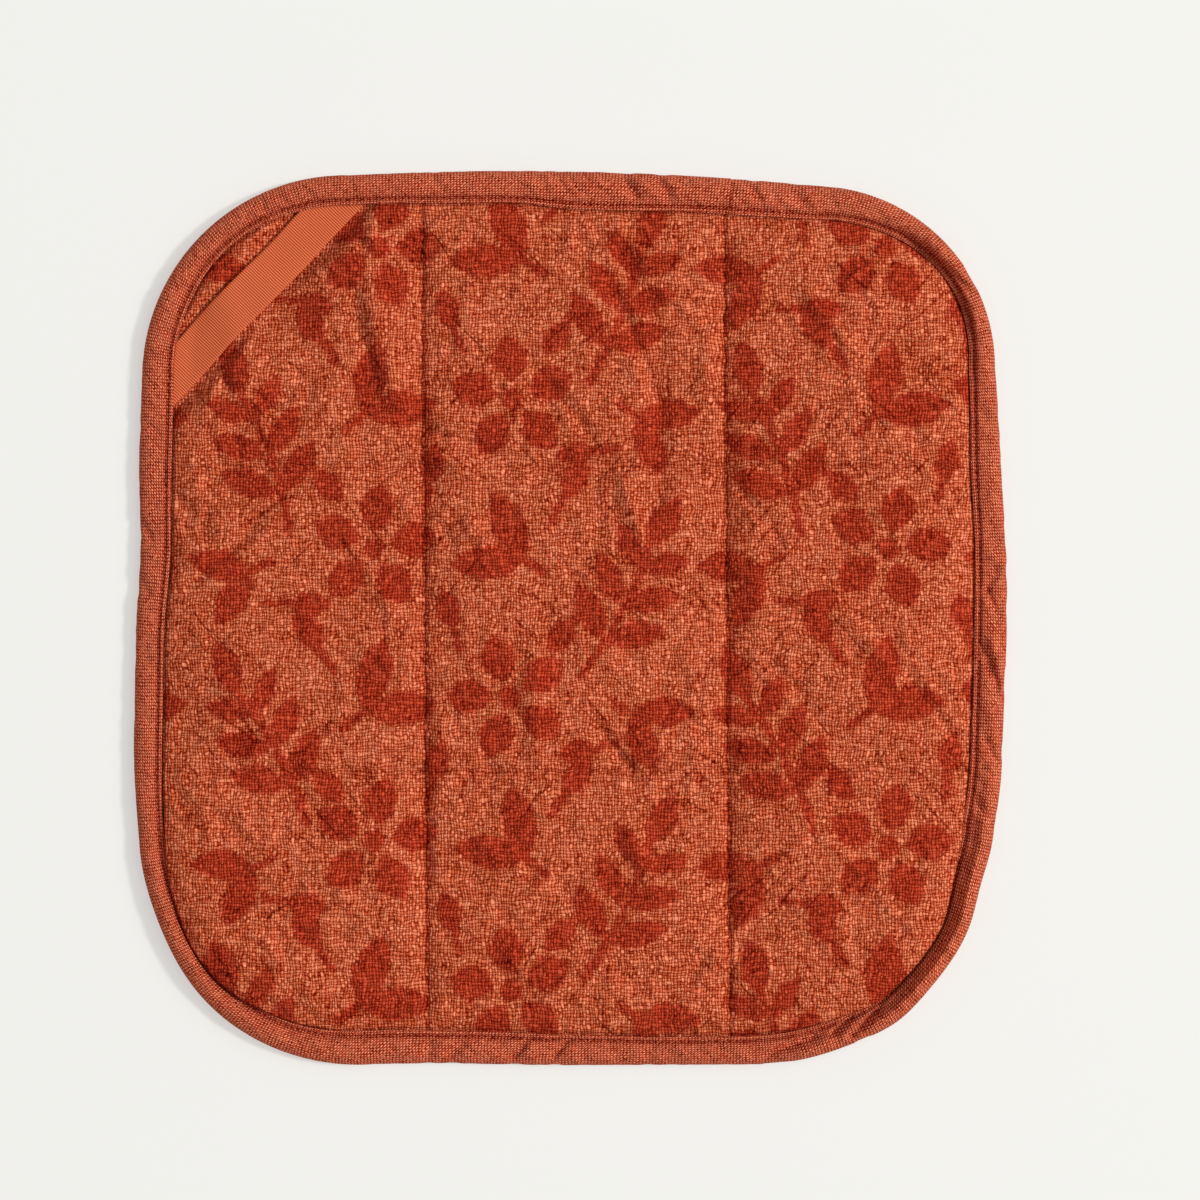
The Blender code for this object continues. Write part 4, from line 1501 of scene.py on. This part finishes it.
@dataclass(frozen=True)
class QuiltedPad:
    """The filled square: a printed face and a plain back, drawn together along four sewn lines."""

    outline: Outline
    edge: Thicknesses
    loop: HangingLoop
    pattern: BlockPrint = BlockPrint()
    finish: PrintedLinen = PrintedLinen()
    rim_inset: float = 0.0028
    rim_line: float = 1.03
    rim_steps: int = 4
    edge_zone: float = 0.0035
    edge_steps: int = 10
    middle_steps: int = 226
    top: float = 0.0076
    rise_length: float = 0.0060
    swell_sharpens: float = 0.65
    under_fall: float = 0.0050
    seams_x: tuple[float, float] = (-0.0343, 0.0368)
    seams_y: tuple[float, float] = (-0.0361, 0.0356)
    seam_lean: float = -0.0070  # the upright seams lean by this much per metre along them
    seam_sway: float = 0.0003
    sway_length: float = 0.017
    depth_x: float = 0.0031
    depth_y: float = 0.0019
    wide: float = 0.0045
    narrow: float = 0.0009
    narrow_share: float = 0.34
    groove_x: float = 0.0009
    groove_y: float = 0.0006
    groove_half_width: float = 0.0050
    fold_strength: float = 2.4
    uneven_seam: float = 0.28  # how much deeper and shallower the channels get along them
    uneven_length: float = 0.0075
    pucker_x: float = 0.00095
    pucker_y: float = 0.00060
    pucker_pitch: float = 0.0031
    pucker_reach: float = 0.0062
    pucker_start: float = 0.0014
    pucker_change: float = 0.012  # way off the seam over which one ripple becomes another
    edge_pucker: float = 0.00070
    edge_radius: float = 0.100  # which turns an angle into a way along the edge
    edge_pitch: float = 0.0036
    edge_change: float = 0.010
    edge_reach: float = 0.0075
    edge_free: float = 0.0022  # way in from the binding over which the folds come up
    slope_length: float = 0.0060  # of the lip and of the face that stands against the binding
    lip_out: float = 0.0025  # how far the swollen filling hangs over the binding
    lip_up: float = 0.0020
    snug: float = 0.0008  # how far the face stands up against the binding's inner edge
    limit_blend: float = 0.00025
    back_crumple: float = 0.0006  # the most that the back is crumpled
    waves: tuple[Wave, ...] = (
        Wave(height=0.00100, length_x=0.022, length_y=0.020, seed=51),
        Wave(height=0.00045, length_x=0.0085, length_y=0.0075, seed=52),
        Wave(height=0.00016, length_x=0.0026, length_y=0.0024, seed=53),
    )
    crest_fall: float = 2.2
    crinkles: tuple[Crinkle, ...] = (
        Crinkle(turn_deg=-45, length=0.021, pitch=0.0048, height=0.00055, seed=41),
        Crinkle(turn_deg=43, length=0.018, pitch=0.0044, height=0.00050, seed=43),
        Crinkle(turn_deg=84, length=0.024, pitch=0.0065, height=0.00055, seed=45),
        Crinkle(turn_deg=-52, length=0.010, pitch=0.0025, height=0.00024, seed=47),
        Crinkle(turn_deg=40, length=0.010, pitch=0.0024, height=0.00022, seed=49),
    )
    folds: tuple[Fold, ...] = (  # start, end, height and half width
        # Upright ridges
        Fold(-0.0480, 0.0860, -0.0370, 0.0400, 0.0010, 0.0042, bow=-0.0015, lean=-0.35),
        Fold(0.0100, 0.0900, 0.0220, 0.0680, -0.0007, 0.0026),
        Fold(0.0210, 0.0770, 0.0180, 0.0110, -0.0008, 0.0028, bow=0.0012),
        Fold(0.0300, 0.0800, 0.0322, 0.0480, 0.0004, 0.0020),
        Fold(-0.0085, 0.0010, -0.0080, -0.0390, 0.0006, 0.0028),
        Fold(0.0120, -0.0460, 0.0210, -0.0680, 0.0006, 0.0022),
        Fold(-0.0230, 0.0850, -0.0255, 0.0600, 0.0004, 0.0026),
        Fold(0.0430, 0.0300, 0.0440, -0.0150, 0.0004, 0.0026),
        Fold(-0.0535, 0.0845, -0.0455, 0.0520, -0.0004, 0.0019),
        Fold(0.0060, 0.0855, 0.0228, 0.0430, -0.0008, 0.0015, bow=0.0010),
        Fold(0.0110, 0.0370, 0.0182, 0.0140, 0.0008, 0.0016),
        # Slanting creases
        Fold(-0.0460, 0.0500, -0.0110, 0.0368, -0.0007, 0.0015, bow=-0.0010),
        Fold(0.0215, -0.0170, 0.0350, -0.0330, -0.0005, 0.0009, bow=0.0010),
        Fold(0.0270, -0.0910, 0.0455, -0.0630, 0.0006, 0.0020),
        Fold(-0.0700, 0.0270, -0.0945, 0.0040, -0.0006, 0.0016, bow=0.0012),
        Fold(-0.0620, 0.0310, -0.0780, 0.0140, 0.0005, 0.0020),
        Fold(-0.0420, 0.0425, -0.0110, 0.0335, 0.0006, 0.0018, bow=-0.0020),
        Fold(-0.0560, 0.0250, -0.0380, -0.0040, 0.0004, 0.0018),
        Fold(0.0370, 0.0350, 0.0520, 0.0140, -0.0005, 0.0012),
        Fold(0.0600, 0.0050, 0.0790, -0.0180, 0.0005, 0.0020, bow=0.0012),
        Fold(0.0430, -0.0060, 0.0640, -0.0300, -0.0004, 0.0013),
        Fold(0.0780, -0.0120, 0.0920, -0.0300, -0.0004, 0.0014),
        Fold(0.0500, 0.0850, 0.0700, 0.0560, 0.0004, 0.0024),
        Fold(0.0760, 0.0500, 0.0930, 0.0250, -0.0004, 0.0014),
        Fold(-0.0130, 0.0640, 0.0080, 0.0400, -0.0005, 0.0014),
        Fold(-0.0300, 0.0300, -0.0120, 0.0060, 0.0004, 0.0020),
        Fold(-0.0870, -0.0110, -0.0640, -0.0320, 0.0004, 0.0018),
        Fold(-0.0880, -0.0420, -0.0720, -0.0560, -0.0004, 0.0014),
        Fold(-0.0640, -0.0520, -0.0440, -0.0760, 0.0004, 0.0022),
        Fold(-0.0280, -0.0560, -0.0060, -0.0800, -0.0004, 0.0016),
        Fold(0.0030, -0.0200, 0.0180, -0.0420, -0.0005, 0.0014),
        Fold(0.0560, -0.0480, 0.0760, -0.0680, 0.0004, 0.0020),
        # Puckers at the ends of the loop
        Fold(-0.0540, 0.0930, -0.0470, 0.0860, -0.0009, 0.0011),
        Fold(-0.0500, 0.0935, -0.0425, 0.0840, 0.0006, 0.0014),
        Fold(-0.0840, 0.0600, -0.0790, 0.0530, -0.0009, 0.0011),
        Fold(-0.0885, 0.0560, -0.0830, 0.0490, 0.0005, 0.0014),
    )

    def lines(self, half_size: float) -> Array:
        """Return the grid's lines: close by the flap's edge, which is at -1 and 1, with the rim beyond."""
        zone = 1.0 - self.edge_zone / half_size
        rim = np.linspace(1.0, self.rim_line, self.rim_steps + 1)[1:]
        close = np.linspace(zone, 1.0, self.edge_steps + 1)[1:]
        outer = np.concatenate([close, rim])
        return np.concatenate([-outer[::-1], np.linspace(-zone, zone, self.middle_steps + 1), outer])

    def grid(self) -> tuple[Array, Array]:
        """Draw a square grid out to the flap's inner edge and on to the pad's rim.

        The radius of a point at share m of the way is m (box + (edge - box) m^2), so the grid takes the
        outline's shape towards the edge.

        Returns:
            x and y of its crossings.
        """
        points = self.outline.points
        inward = self.outline.inward(points)
        flap = self.outline.flap(np.arctan2(points[:, 1], points[:, 0]))
        rim = points + inward * self.rim_inset
        edge = points + inward * (flap + self.edge.gap)[:, None]
        half_x, half_y = np.abs(edge).max(axis=0)
        u, v = np.meshgrid(self.lines(half_x), self.lines(half_y), indexing="ij")
        angle = np.arctan2(v * half_y, u * half_x)
        square = np.maximum(np.abs(u), np.abs(v))
        within = np.minimum(square, 1.0)
        to_box = np.hypot(u * half_x, v * half_y) / np.maximum(square, TINY)
        to_edge = self.outline.polar_radius(edge, angle)
        to_rim = self.outline.polar_radius(rim, angle)
        radius = within * (to_box + (to_edge - to_box) * within**2)
        radius = radius + (to_rim - to_edge) * np.clip((square - 1.0) / (self.rim_line - 1.0), 0.0, 1.0)
        return radius * np.cos(angle), radius * np.sin(angle)

    def sway(self, x: Array, y: Array) -> Array:
        """Return how far the sewn lines stray from straight."""
        return self.seam_sway * Unevenness(21).at(x / self.sway_length, y / self.sway_length)

    def seam_ways(self, x: Array, y: Array) -> list[tuple[Array, Array, float]]:
        """List, for each sewn line, the way along it, the way off it, and its weight, 1 for upright ones."""
        sway = self.sway(x, y)
        upright = [(y, x - seam - self.seam_lean * y - sway, 1.0) for seam in self.seams_x]
        return upright + [(x, y - seam - sway, 0.0) for seam in self.seams_y]

    def channels(self, x: Array, y: Array) -> Array:
        """Work out how far the sewn lines draw the face down.

        Each falls off as a wide and a narrow exp(-distance / length), and is uneven along its way.

        Args:
            x: Places on the face.
            y: Places on the face.

        Returns:
            The depth below the crown.
        """
        total = np.zeros(np.shape(x))
        for number, (along, away, upright) in enumerate(self.seam_ways(x, y)):
            depth = self.depth_x * upright + self.depth_y * (1.0 - upright)
            uneven = 1.0 + self.uneven_seam * Unevenness(22 + number).at(along / self.uneven_length, 0.5)
            wide = (1.0 - self.narrow_share) * np.exp(-np.abs(away) / self.wide)
            narrow = self.narrow_share * np.exp(-np.abs(away) / self.narrow)
            total = total + depth * uneven * (wide + narrow)
        return total

    def puckers(self, x: Array, y: Array, inside: Array) -> Array:
        """Work out the short ripples that the stitches gather, square to the sewn lines and to the edge.

        Args:
            x: Places on the face.
            y: Places on the face.
            inside: Their distances inside the binding.

        Returns:
            Heights to add.
        """
        stray = Unevenness(26).at(x / 0.010, y / 0.010)
        total = np.zeros(np.shape(x))
        for number, (along, away, upright) in enumerate(self.seam_ways(x, y)):
            height = self.pucker_x * upright + self.pucker_y * (1.0 - upright)
            off = np.abs(away)
            near = np.exp(-off / self.pucker_reach) * soft_step(off / self.pucker_start)
            fan = 0.5 * away / self.pucker_pitch * Unevenness(27).at(along / 0.02, number)
            turn = along / self.pucker_pitch + 0.7 * stray + fan
            total = total + height * near * Unevenness(28 + number).at(turn, away / self.pucker_change)
        round_edge = np.arctan2(y, x) * self.edge_radius
        ripple = Unevenness(35).at(round_edge / self.edge_pitch + 0.6 * stray, inside / self.edge_change)
        return total + self.edge_pucker * ripple * np.exp(-inside / self.edge_reach)

    def creases(self, x: Array, y: Array) -> Array:
        """Work out the linen's crumple: layers of slanting crests in patches, over broad and fine waves.

        Each layer is height (1 - fall |noise|), with the noise stretched along the layer's direction.

        Args:
            x: Places on the cloth.
            y: Places on the cloth.

        Returns:
            Heights to add.
        """
        total = np.zeros(np.shape(x))
        for wave in self.waves:
            total = total + wave.height * Unevenness(wave.seed).at(x / wave.length_x, y / wave.length_y)
        stray = Unevenness(54).at(x / 0.008, y / 0.008)
        for layer in self.crinkles:
            turn = np.radians(layer.turn_deg)
            along = x * np.cos(turn) + y * np.sin(turn)
            across = y * np.cos(turn) - x * np.sin(turn)
            noise = Unevenness(layer.seed).at(along / layer.length, across / layer.pitch + 0.5 * stray)
            crest = 1.0 - self.crest_fall * np.abs(noise)
            patch = soft_step(0.45 + 1.3 * Unevenness(layer.seed + 1).at(x / 0.019, y / 0.019))
            total = total + layer.height * crest * patch
        return total

    def face(self, x: Array, y: Array, inside: Array) -> Array:
        """Work out the face's height.

        It rises from the edge by 1 - exp(-distance / length), faster at the swollen corners, less the
        channels, plus the folds, and stays below the loop.

        Args:
            x: Places on the face.
            y: Places on the face.
            inside: Their distances inside the binding, 0 under it.

        Returns:
            The heights.
        """
        angle = np.arctan2(y, x)
        swell = self.outline.over_rolls(angle, "swell")
        sunk = self.edge.sunk * self.outline.over_rolls(angle, "sink")
        rim_top = self.edge.ceiling - self.edge.gap - sunk
        rise = 1.0 - np.exp(-inside / (self.rise_length * (1.0 - self.swell_sharpens * swell)))
        slope = np.exp(-inside / self.slope_length)
        lip = self.lip_up * swell * soft_step(inside / 0.0005) * slope
        snug = self.snug * soft_step(inside / 0.0006) * slope * (1.0 - swell)
        free = 1.0 - np.exp(-inside / self.edge_free)
        detail = self.puckers(x, y, inside) + self.creases(x, y)
        detail = detail + self.fold_strength * folds_at(self.folds, x, y)
        height = rim_top + rise * (self.top - rim_top - self.channels(x, y)) + lip + snug + free * detail
        return soft_least(height, self.loop.limit(x, y), self.limit_blend)

    def back(self, x: Array, y: Array, inside: Array) -> Array:
        """Work out the back's height: shallow cells on the surface below, and grooves along the seams.

        Args:
            x: Places on the back.
            y: Places on the back.
            inside: Their distances inside the binding, below 0 under it.

        Returns:
            The heights, none below 0.
        """
        in_flap = 1.0 - soft_step(inside / self.under_fall)
        grooves = np.zeros(np.shape(x))
        for _along, away, upright in self.seam_ways(x, y):
            depth = self.groove_x * upright + self.groove_y * (1.0 - upright)
            grooves = grooves + depth * np.clip(1.0 - np.abs(away) / self.groove_half_width, 0.0, None) ** 2
        puckers = self.puckers(x, y, np.clip(inside, 0.0, None))
        crumple = np.clip(0.6 * self.creases(-x, y) + 0.5 * puckers, 0.0, self.back_crumple)
        under_rim = (self.edge.strip + self.edge.gap) * in_flap
        return under_rim + (grooves + crumple * 0.8) * (1.0 - in_flap)

    def inside(self, x: Array, y: Array) -> Array:
        """Return how far each place lies inside the binding, below 0 under it."""
        return self.outline.distance(x, y) - self.outline.flap(np.arctan2(y, x)) - self.edge.gap

    def build(self) -> bpy.types.Object:
        """Join the face and a back of half as many lines along the hidden rim.

        The face's swollen corners are moved outwards over the binding by their lip.

        Returns:
            The pad, with the print's and the creases' fields on its points.
        """
        x, y = self.grid()
        inside = self.inside(x, y)
        within = np.clip(inside, 0.0, None)
        z = self.face(x, y, within)
        swell = self.outline.over_rolls(np.arctan2(y, x), "swell")
        lip = self.lip_out * swell * soft_step((within - 0.00025) / 0.00045) * bell(within, 0.0036)
        outwards = 1.0 + lip / np.maximum(np.hypot(x, y), TINY)
        back_x, back_y = x[::2, ::2], y[::2, ::2]
        back_z = self.back(back_x, back_y, inside[::2, ::2])
        face_points = np.stack([x * outwards, y * outwards, z], axis=-1).reshape(-1, 3)
        back_points = np.stack([back_x, back_y, back_z], axis=-1).reshape(-1, 3)
        count = x.shape[0]
        half = back_x.shape[0]
        face_numbers = np.arange(count * count).reshape(count, count)
        back_numbers = np.arange(half * half).reshape(half, half) + count * count
        upper, lower = ring_of(face_numbers), ring_of(back_numbers)
        next_lower = np.roll(lower, -1)
        band = np.stack([lower, next_lower, np.roll(upper, -2)[::2], upper[1::2], upper[::2]], axis=1)
        face_quads = quads(count, count)[0]
        back_quads = quads(half, half)[0][:, ::-1] + count * count
        points = np.concatenate([face_points, back_points])
        pad = Skin(points, [face_quads, back_quads, band]).to_object("linen_pad")
        unprinted = np.ones(len(back_points))
        hold(pad, "print", np.concatenate([self.pattern.distance(x, y).ravel(), unprinted]))
        all_x, all_y = points[:, 0], points[:, 1]
        rising, falling = (all_x + all_y) / np.sqrt(2.0), (all_y - all_x) / np.sqrt(2.0)
        stray = 0.12 * Unevenness(61).at(all_x / 0.006, all_y / 0.006)
        patch = Unevenness(64).at(all_x / 0.019, all_y / 0.019)
        creases_up = Unevenness(62).at(rising / 0.050, falling / 0.0062 + stray)
        creases_down = Unevenness(63).at(falling / 0.050, rising / 0.0062 + stray)
        hold(pad, "crease", np.where(patch > 0.0, creases_up, creases_down))
        hold(pad, "creased", soft_step(2.6 * np.abs(patch) - 0.4))
        ways = self.seam_ways(all_x, all_y)
        hold(pad, "seam_x", self.nearest([away for _along, away, upright in ways if upright]))
        hold(pad, "seam_y", self.nearest([away for _along, away, upright in ways if not upright]))
        pad.data.materials.append(self.finish.material())
        return pad

    @staticmethod
    def nearest(ways_off: list[Array]) -> Array:
        """Return, at each place, the one of two ways off a line that is nearer to 0."""
        first, second = ways_off
        return np.where(np.abs(first) < np.abs(second), first, second)


def ring_of(grid: Array) -> Array:
    """Return the values at a grid's edge, counterclockwise from its first corner."""
    return np.concatenate([grid[:-1, 0], grid[-1, :-1], grid[:0:-1, -1], grid[0, :0:-1]])


# Sewing


@dataclass(frozen=True)
class Stitching:
    """Rows of single stitches, each a short bead of thread whose ends dip into the cloth."""

    pitch: float
    length: float
    radius: float
    sink: float
    finish: SewingThread = SewingThread()
    sides: int = 6
    ring_places: tuple[float, ...] = (-1.0, -0.65, 0.0, 0.65, 1.0)
    ring_sizes: tuple[float, ...] = (0.35, 0.9, 1.0, 0.9, 0.35)
    proud_share: float = 0.3

    @property
    def proud(self) -> float:
        """How far a bead's middle stands over the cloth."""
        return self.proud_share * self.radius

    def beads(self, middles: Array, ways: Array, up: float) -> Skin:
        """Lay a bead of thread at each middle.

        A bead's rings stand square to its way, and sink by sink s^2 towards its ends, where s is 1.

        Args:
            middles: Middle points of the stitches.
            ways: Unit vectors along them.
            up: 1 on the face and -1 on the back.

        Returns:
            All the beads as one skin.
        """
        place = np.array(self.ring_places)[None, :, None, None]
        size = np.array(self.ring_sizes)[None, :, None, None]
        turn = np.linspace(0.0, FULL_TURN, self.sides, endpoint=False)[None, None, :, None]
        normal = np.array((0.0, 0.0, up))
        side = np.cross(normal, ways)
        side = side / np.linalg.norm(side, axis=1, keepdims=True)
        middles, ways, side = (part[:, None, None, :] for part in (middles, ways, side))
        round_part = self.radius * size * (side * np.cos(turn) + normal * np.sin(turn))
        points = middles + ways * place * self.length / 2.0 - normal * self.sink * place**2 + round_part
        count, rings = points.shape[0], len(self.ring_places)
        first = (np.arange(count) * rings * self.sides)[:, None, None]
        one = quads(rings, self.sides, close_columns=True)[0]
        ring = np.arange(self.sides)
        caps = np.stack([ring[::-1], (rings - 1) * self.sides + ring])
        faces = [(one + first).reshape(-1, 4), (caps + first).reshape(-1, self.sides)]
        return Skin(points.reshape(-1, 3), faces)


@dataclass(frozen=True)
class QuiltingRows:
    """The four sewn lines of the quilting, on the face and on the back."""

    pad: QuiltedPad
    stitching: Stitching = Stitching(pitch=0.0021, length=0.00155, radius=0.00017, sink=0.00030)
    margin: float = 0.0015
    reach: float = 0.110  # each way from the middle, past the binding
    farthest: float = 0.108

    def build(self) -> bpy.types.Object:
        """Lay the beads along the seams, from binding to binding, but for what the loop covers.

        Returns:
            The stitches.
        """
        steps = np.arange(-self.reach, self.reach, self.stitching.pitch)
        rows = []
        for seam in self.pad.seams_x:
            rows.append((seam + self.pad.seam_lean * steps, steps, (0.0, 1.0)))
        for seam in self.pad.seams_y:
            rows.append((steps, np.full_like(steps, seam), (1.0, 0.0)))
        x, y = (np.concatenate([row[axis] for row in rows]) for axis in (0, 1))
        ways = np.concatenate([np.tile((*row[2], 0.0), (len(steps), 1)) for row in rows])
        sway = self.pad.sway(x, y)
        x, y = x + sway * ways[:, 1], y + sway * ways[:, 0]
        inside = self.pad.inside(x, y)
        kept = (inside > self.margin) & (np.hypot(x, y) < self.farthest)
        x, y, inside, ways = x[kept], y[kept], inside[kept], ways[kept]
        face = np.stack([x, y, self.pad.face(x, y, inside) + self.stitching.proud], axis=1)
        back = np.stack([x, y, self.pad.back(x, y, inside) + 0.2 * self.stitching.radius], axis=1)
        upper = self.stitching.beads(face, ways, 1.0)
        lower = self.stitching.beads(back, ways, -1.0)
        shape = joined([upper, lower]).to_object("quilting_stitches")
        shape.data.materials.append(self.stitching.finish.material())
        return shape


@dataclass(frozen=True)
class BindingRows:
    """The stitches that hold the binding, near its inner edges on the face and on the back."""

    binding: EdgeBinding
    stitching: Stitching = Stitching(pitch=0.00160, length=0.00112, radius=0.00015, sink=0.00022)

    def build(self) -> bpy.types.Object:
        """Lay the beads in the binding's grooves.

        Returns:
            The stitches.
        """
        binding = self.binding
        count = int(binding.length / self.stitching.pitch)
        way = np.linspace(0.0, binding.length, count, endpoint=False)[:, None]
        point, normal = binding.on_track(way[:, 0])
        width = binding.outline.flap(np.arctan2(point[:, 1], point[:, 0]))[:, None]
        depth = width - binding.seam_inset
        x, y = (point + normal * depth).T[:, :, None]
        top = binding.flap_top(way, depth, width, x, y) + self.stitching.proud
        under = np.full_like(top, binding.under_seam_depth)
        ways = np.stack([normal[:, 1], -normal[:, 0], np.zeros(count)], axis=1)
        upper = self.stitching.beads(np.concatenate([x, y, top], axis=1), ways, 1.0)
        lower = self.stitching.beads(np.concatenate([x, y, under], axis=1), ways, -1.0)
        shape = joined([upper, lower]).to_object("binding_stitches")
        shape.data.materials.append(self.stitching.finish.material())
        return shape


# Studio


@dataclass(frozen=True)
class Lamp:
    """A square light aimed at the middle of the floor."""

    name: str
    floor_light: float  # how bright it alone makes a white floor, of 1
    size: float
    distance: float
    elevation_deg: float
    azimuth_deg: float  # from +X


@dataclass(frozen=True)
class Studio:
    """A pale floor, soft lights from the right, pale light all round, and the camera overhead."""

    floor_size: float = 4.0
    floor_drop: float = 0.0002
    floor_colour: Colour = (0.680, 0.680, 0.672)
    floor_roughness: float = 0.85
    floor_gloss: float = 0.2
    floor_glow: float = 0.49  # keeps the shadows on the floor as pale as in a bright studio
    glow_colour: Colour = (1.0, 1.0, 0.990)
    surround: Colour = (1.0, 0.995, 0.985)
    surround_strength: float = 0.34
    lamps: tuple[Lamp, ...] = (
        Lamp("key", floor_light=0.38, size=0.60, distance=5.0, elevation_deg=48.0, azimuth_deg=5.0),
        Lamp("softbox", floor_light=0.28, size=3.0, distance=4.0, elevation_deg=55.0, azimuth_deg=15.0),
    )
    lamp_colour: Colour = (1.0, 0.995, 0.975)
    camera_height: float = 1.1
    view_width: float = 0.2830
    view_x: float = 0.00696
    view_y: float = 0.00425
    focus_height: float = 0.0025
    sensor: float = 36.0

    def build(self) -> None:
        """Build the floor, the lights and the camera."""
        self.build_floor()
        self.build_lights()
        self.build_camera()

    def build_floor(self) -> None:
        """Lay one pale sheet just under the pot holder."""
        half = self.floor_size / 2.0
        corners = np.array([(-half, -half), (half, -half), (half, half), (-half, half)])
        points = np.column_stack([corners, np.full(4, -self.floor_drop)])
        floor = Skin(points, [np.array([[0, 1, 2, 3]])]).to_object("floor")
        material = bpy.data.materials.new("pale_floor")
        material.use_nodes = True
        shader = material.node_tree.nodes["Principled BSDF"]
        shader.inputs["Base Color"].default_value = linear_colour(self.floor_colour)
        shader.inputs["Roughness"].default_value = self.floor_roughness
        shader.inputs["Specular IOR Level"].default_value = self.floor_gloss
        shader.inputs["Emission Color"].default_value = linear_colour(self.glow_colour)
        shader.inputs["Emission Strength"].default_value = self.floor_glow
        floor.data.materials.append(material)

    def build_lights(self) -> None:
        """Set the surround and the lamps.

        A lamp of power P gives a floor at distance d the light P sin(elevation) / (pi d)^2.
        """
        world = bpy.data.worlds.new("surround")
        world.use_nodes = True
        background = world.node_tree.nodes["Background"]
        background.inputs["Color"].default_value = linear_colour(self.surround)
        background.inputs["Strength"].default_value = self.surround_strength
        bpy.context.scene.world = world
        for lamp in self.lamps:
            up, round_z = np.radians(lamp.elevation_deg), np.radians(lamp.azimuth_deg)
            light = bpy.data.lights.new(lamp.name, "AREA")
            light.size = lamp.size
            light.energy = lamp.floor_light * (np.pi * lamp.distance) ** 2 / np.sin(up)
            light.color = linear_colour(self.lamp_colour)[:3]
            shape = bpy.data.objects.new(lamp.name, light)
            away = np.array((np.cos(up) * np.cos(round_z), np.cos(up) * np.sin(round_z), np.sin(up)))
            shape.location = tuple(lamp.distance * away)
            shape.rotation_euler = (0.0, np.pi / 2.0 - up, round_z)
            bpy.context.scene.collection.objects.link(shape)

    def build_camera(self) -> None:
        """Hang the camera overhead, with +Y at the top of the picture."""
        lens = bpy.data.cameras.new("overhead")
        lens.sensor_width = self.sensor
        lens.lens = self.sensor * (self.camera_height - self.focus_height) / self.view_width
        camera = bpy.data.objects.new("overhead", lens)
        camera.location = (self.view_x, self.view_y, self.camera_height)
        bpy.context.scene.collection.objects.link(camera)
        bpy.context.scene.camera = camera
        bpy.context.scene.view_settings.view_transform = "Standard"


def settle(piece: bpy.types.Object, node: str | None = None) -> None:
    """Make a piece ride on the body and, if named, stand for a node.

    Args:
        piece: The piece.
        node: The solid that it replaces.
    """
    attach(piece, BODY)
    if node is not None:
        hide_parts(node)
    LOG.info("%s: %d faces", piece.name, len(piece.data.polygons))


def main() -> None:
    """Build the pot holder's pieces round the frame."""
    logging.basicConfig(level=logging.INFO, format="%(name)s: %(message)s")
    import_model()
    Studio().build()
    outline, edge = Outline(), Thicknesses()
    loop = HangingLoop(edge)
    pad = QuiltedPad(outline, edge, loop)
    binding = EdgeBinding(outline, edge)
    padding = pad.build()
    settle(padding, "quilted_pad")
    settle(QuiltingRows(pad).build())
    strip = binding.build()
    settle(strip, "edge_binding")
    binding.length
    settle(BindingRows(binding).build())
    tape = loop.build()
    settle(tape, "hanging_loop")


if __name__ == "__main__":
    main()
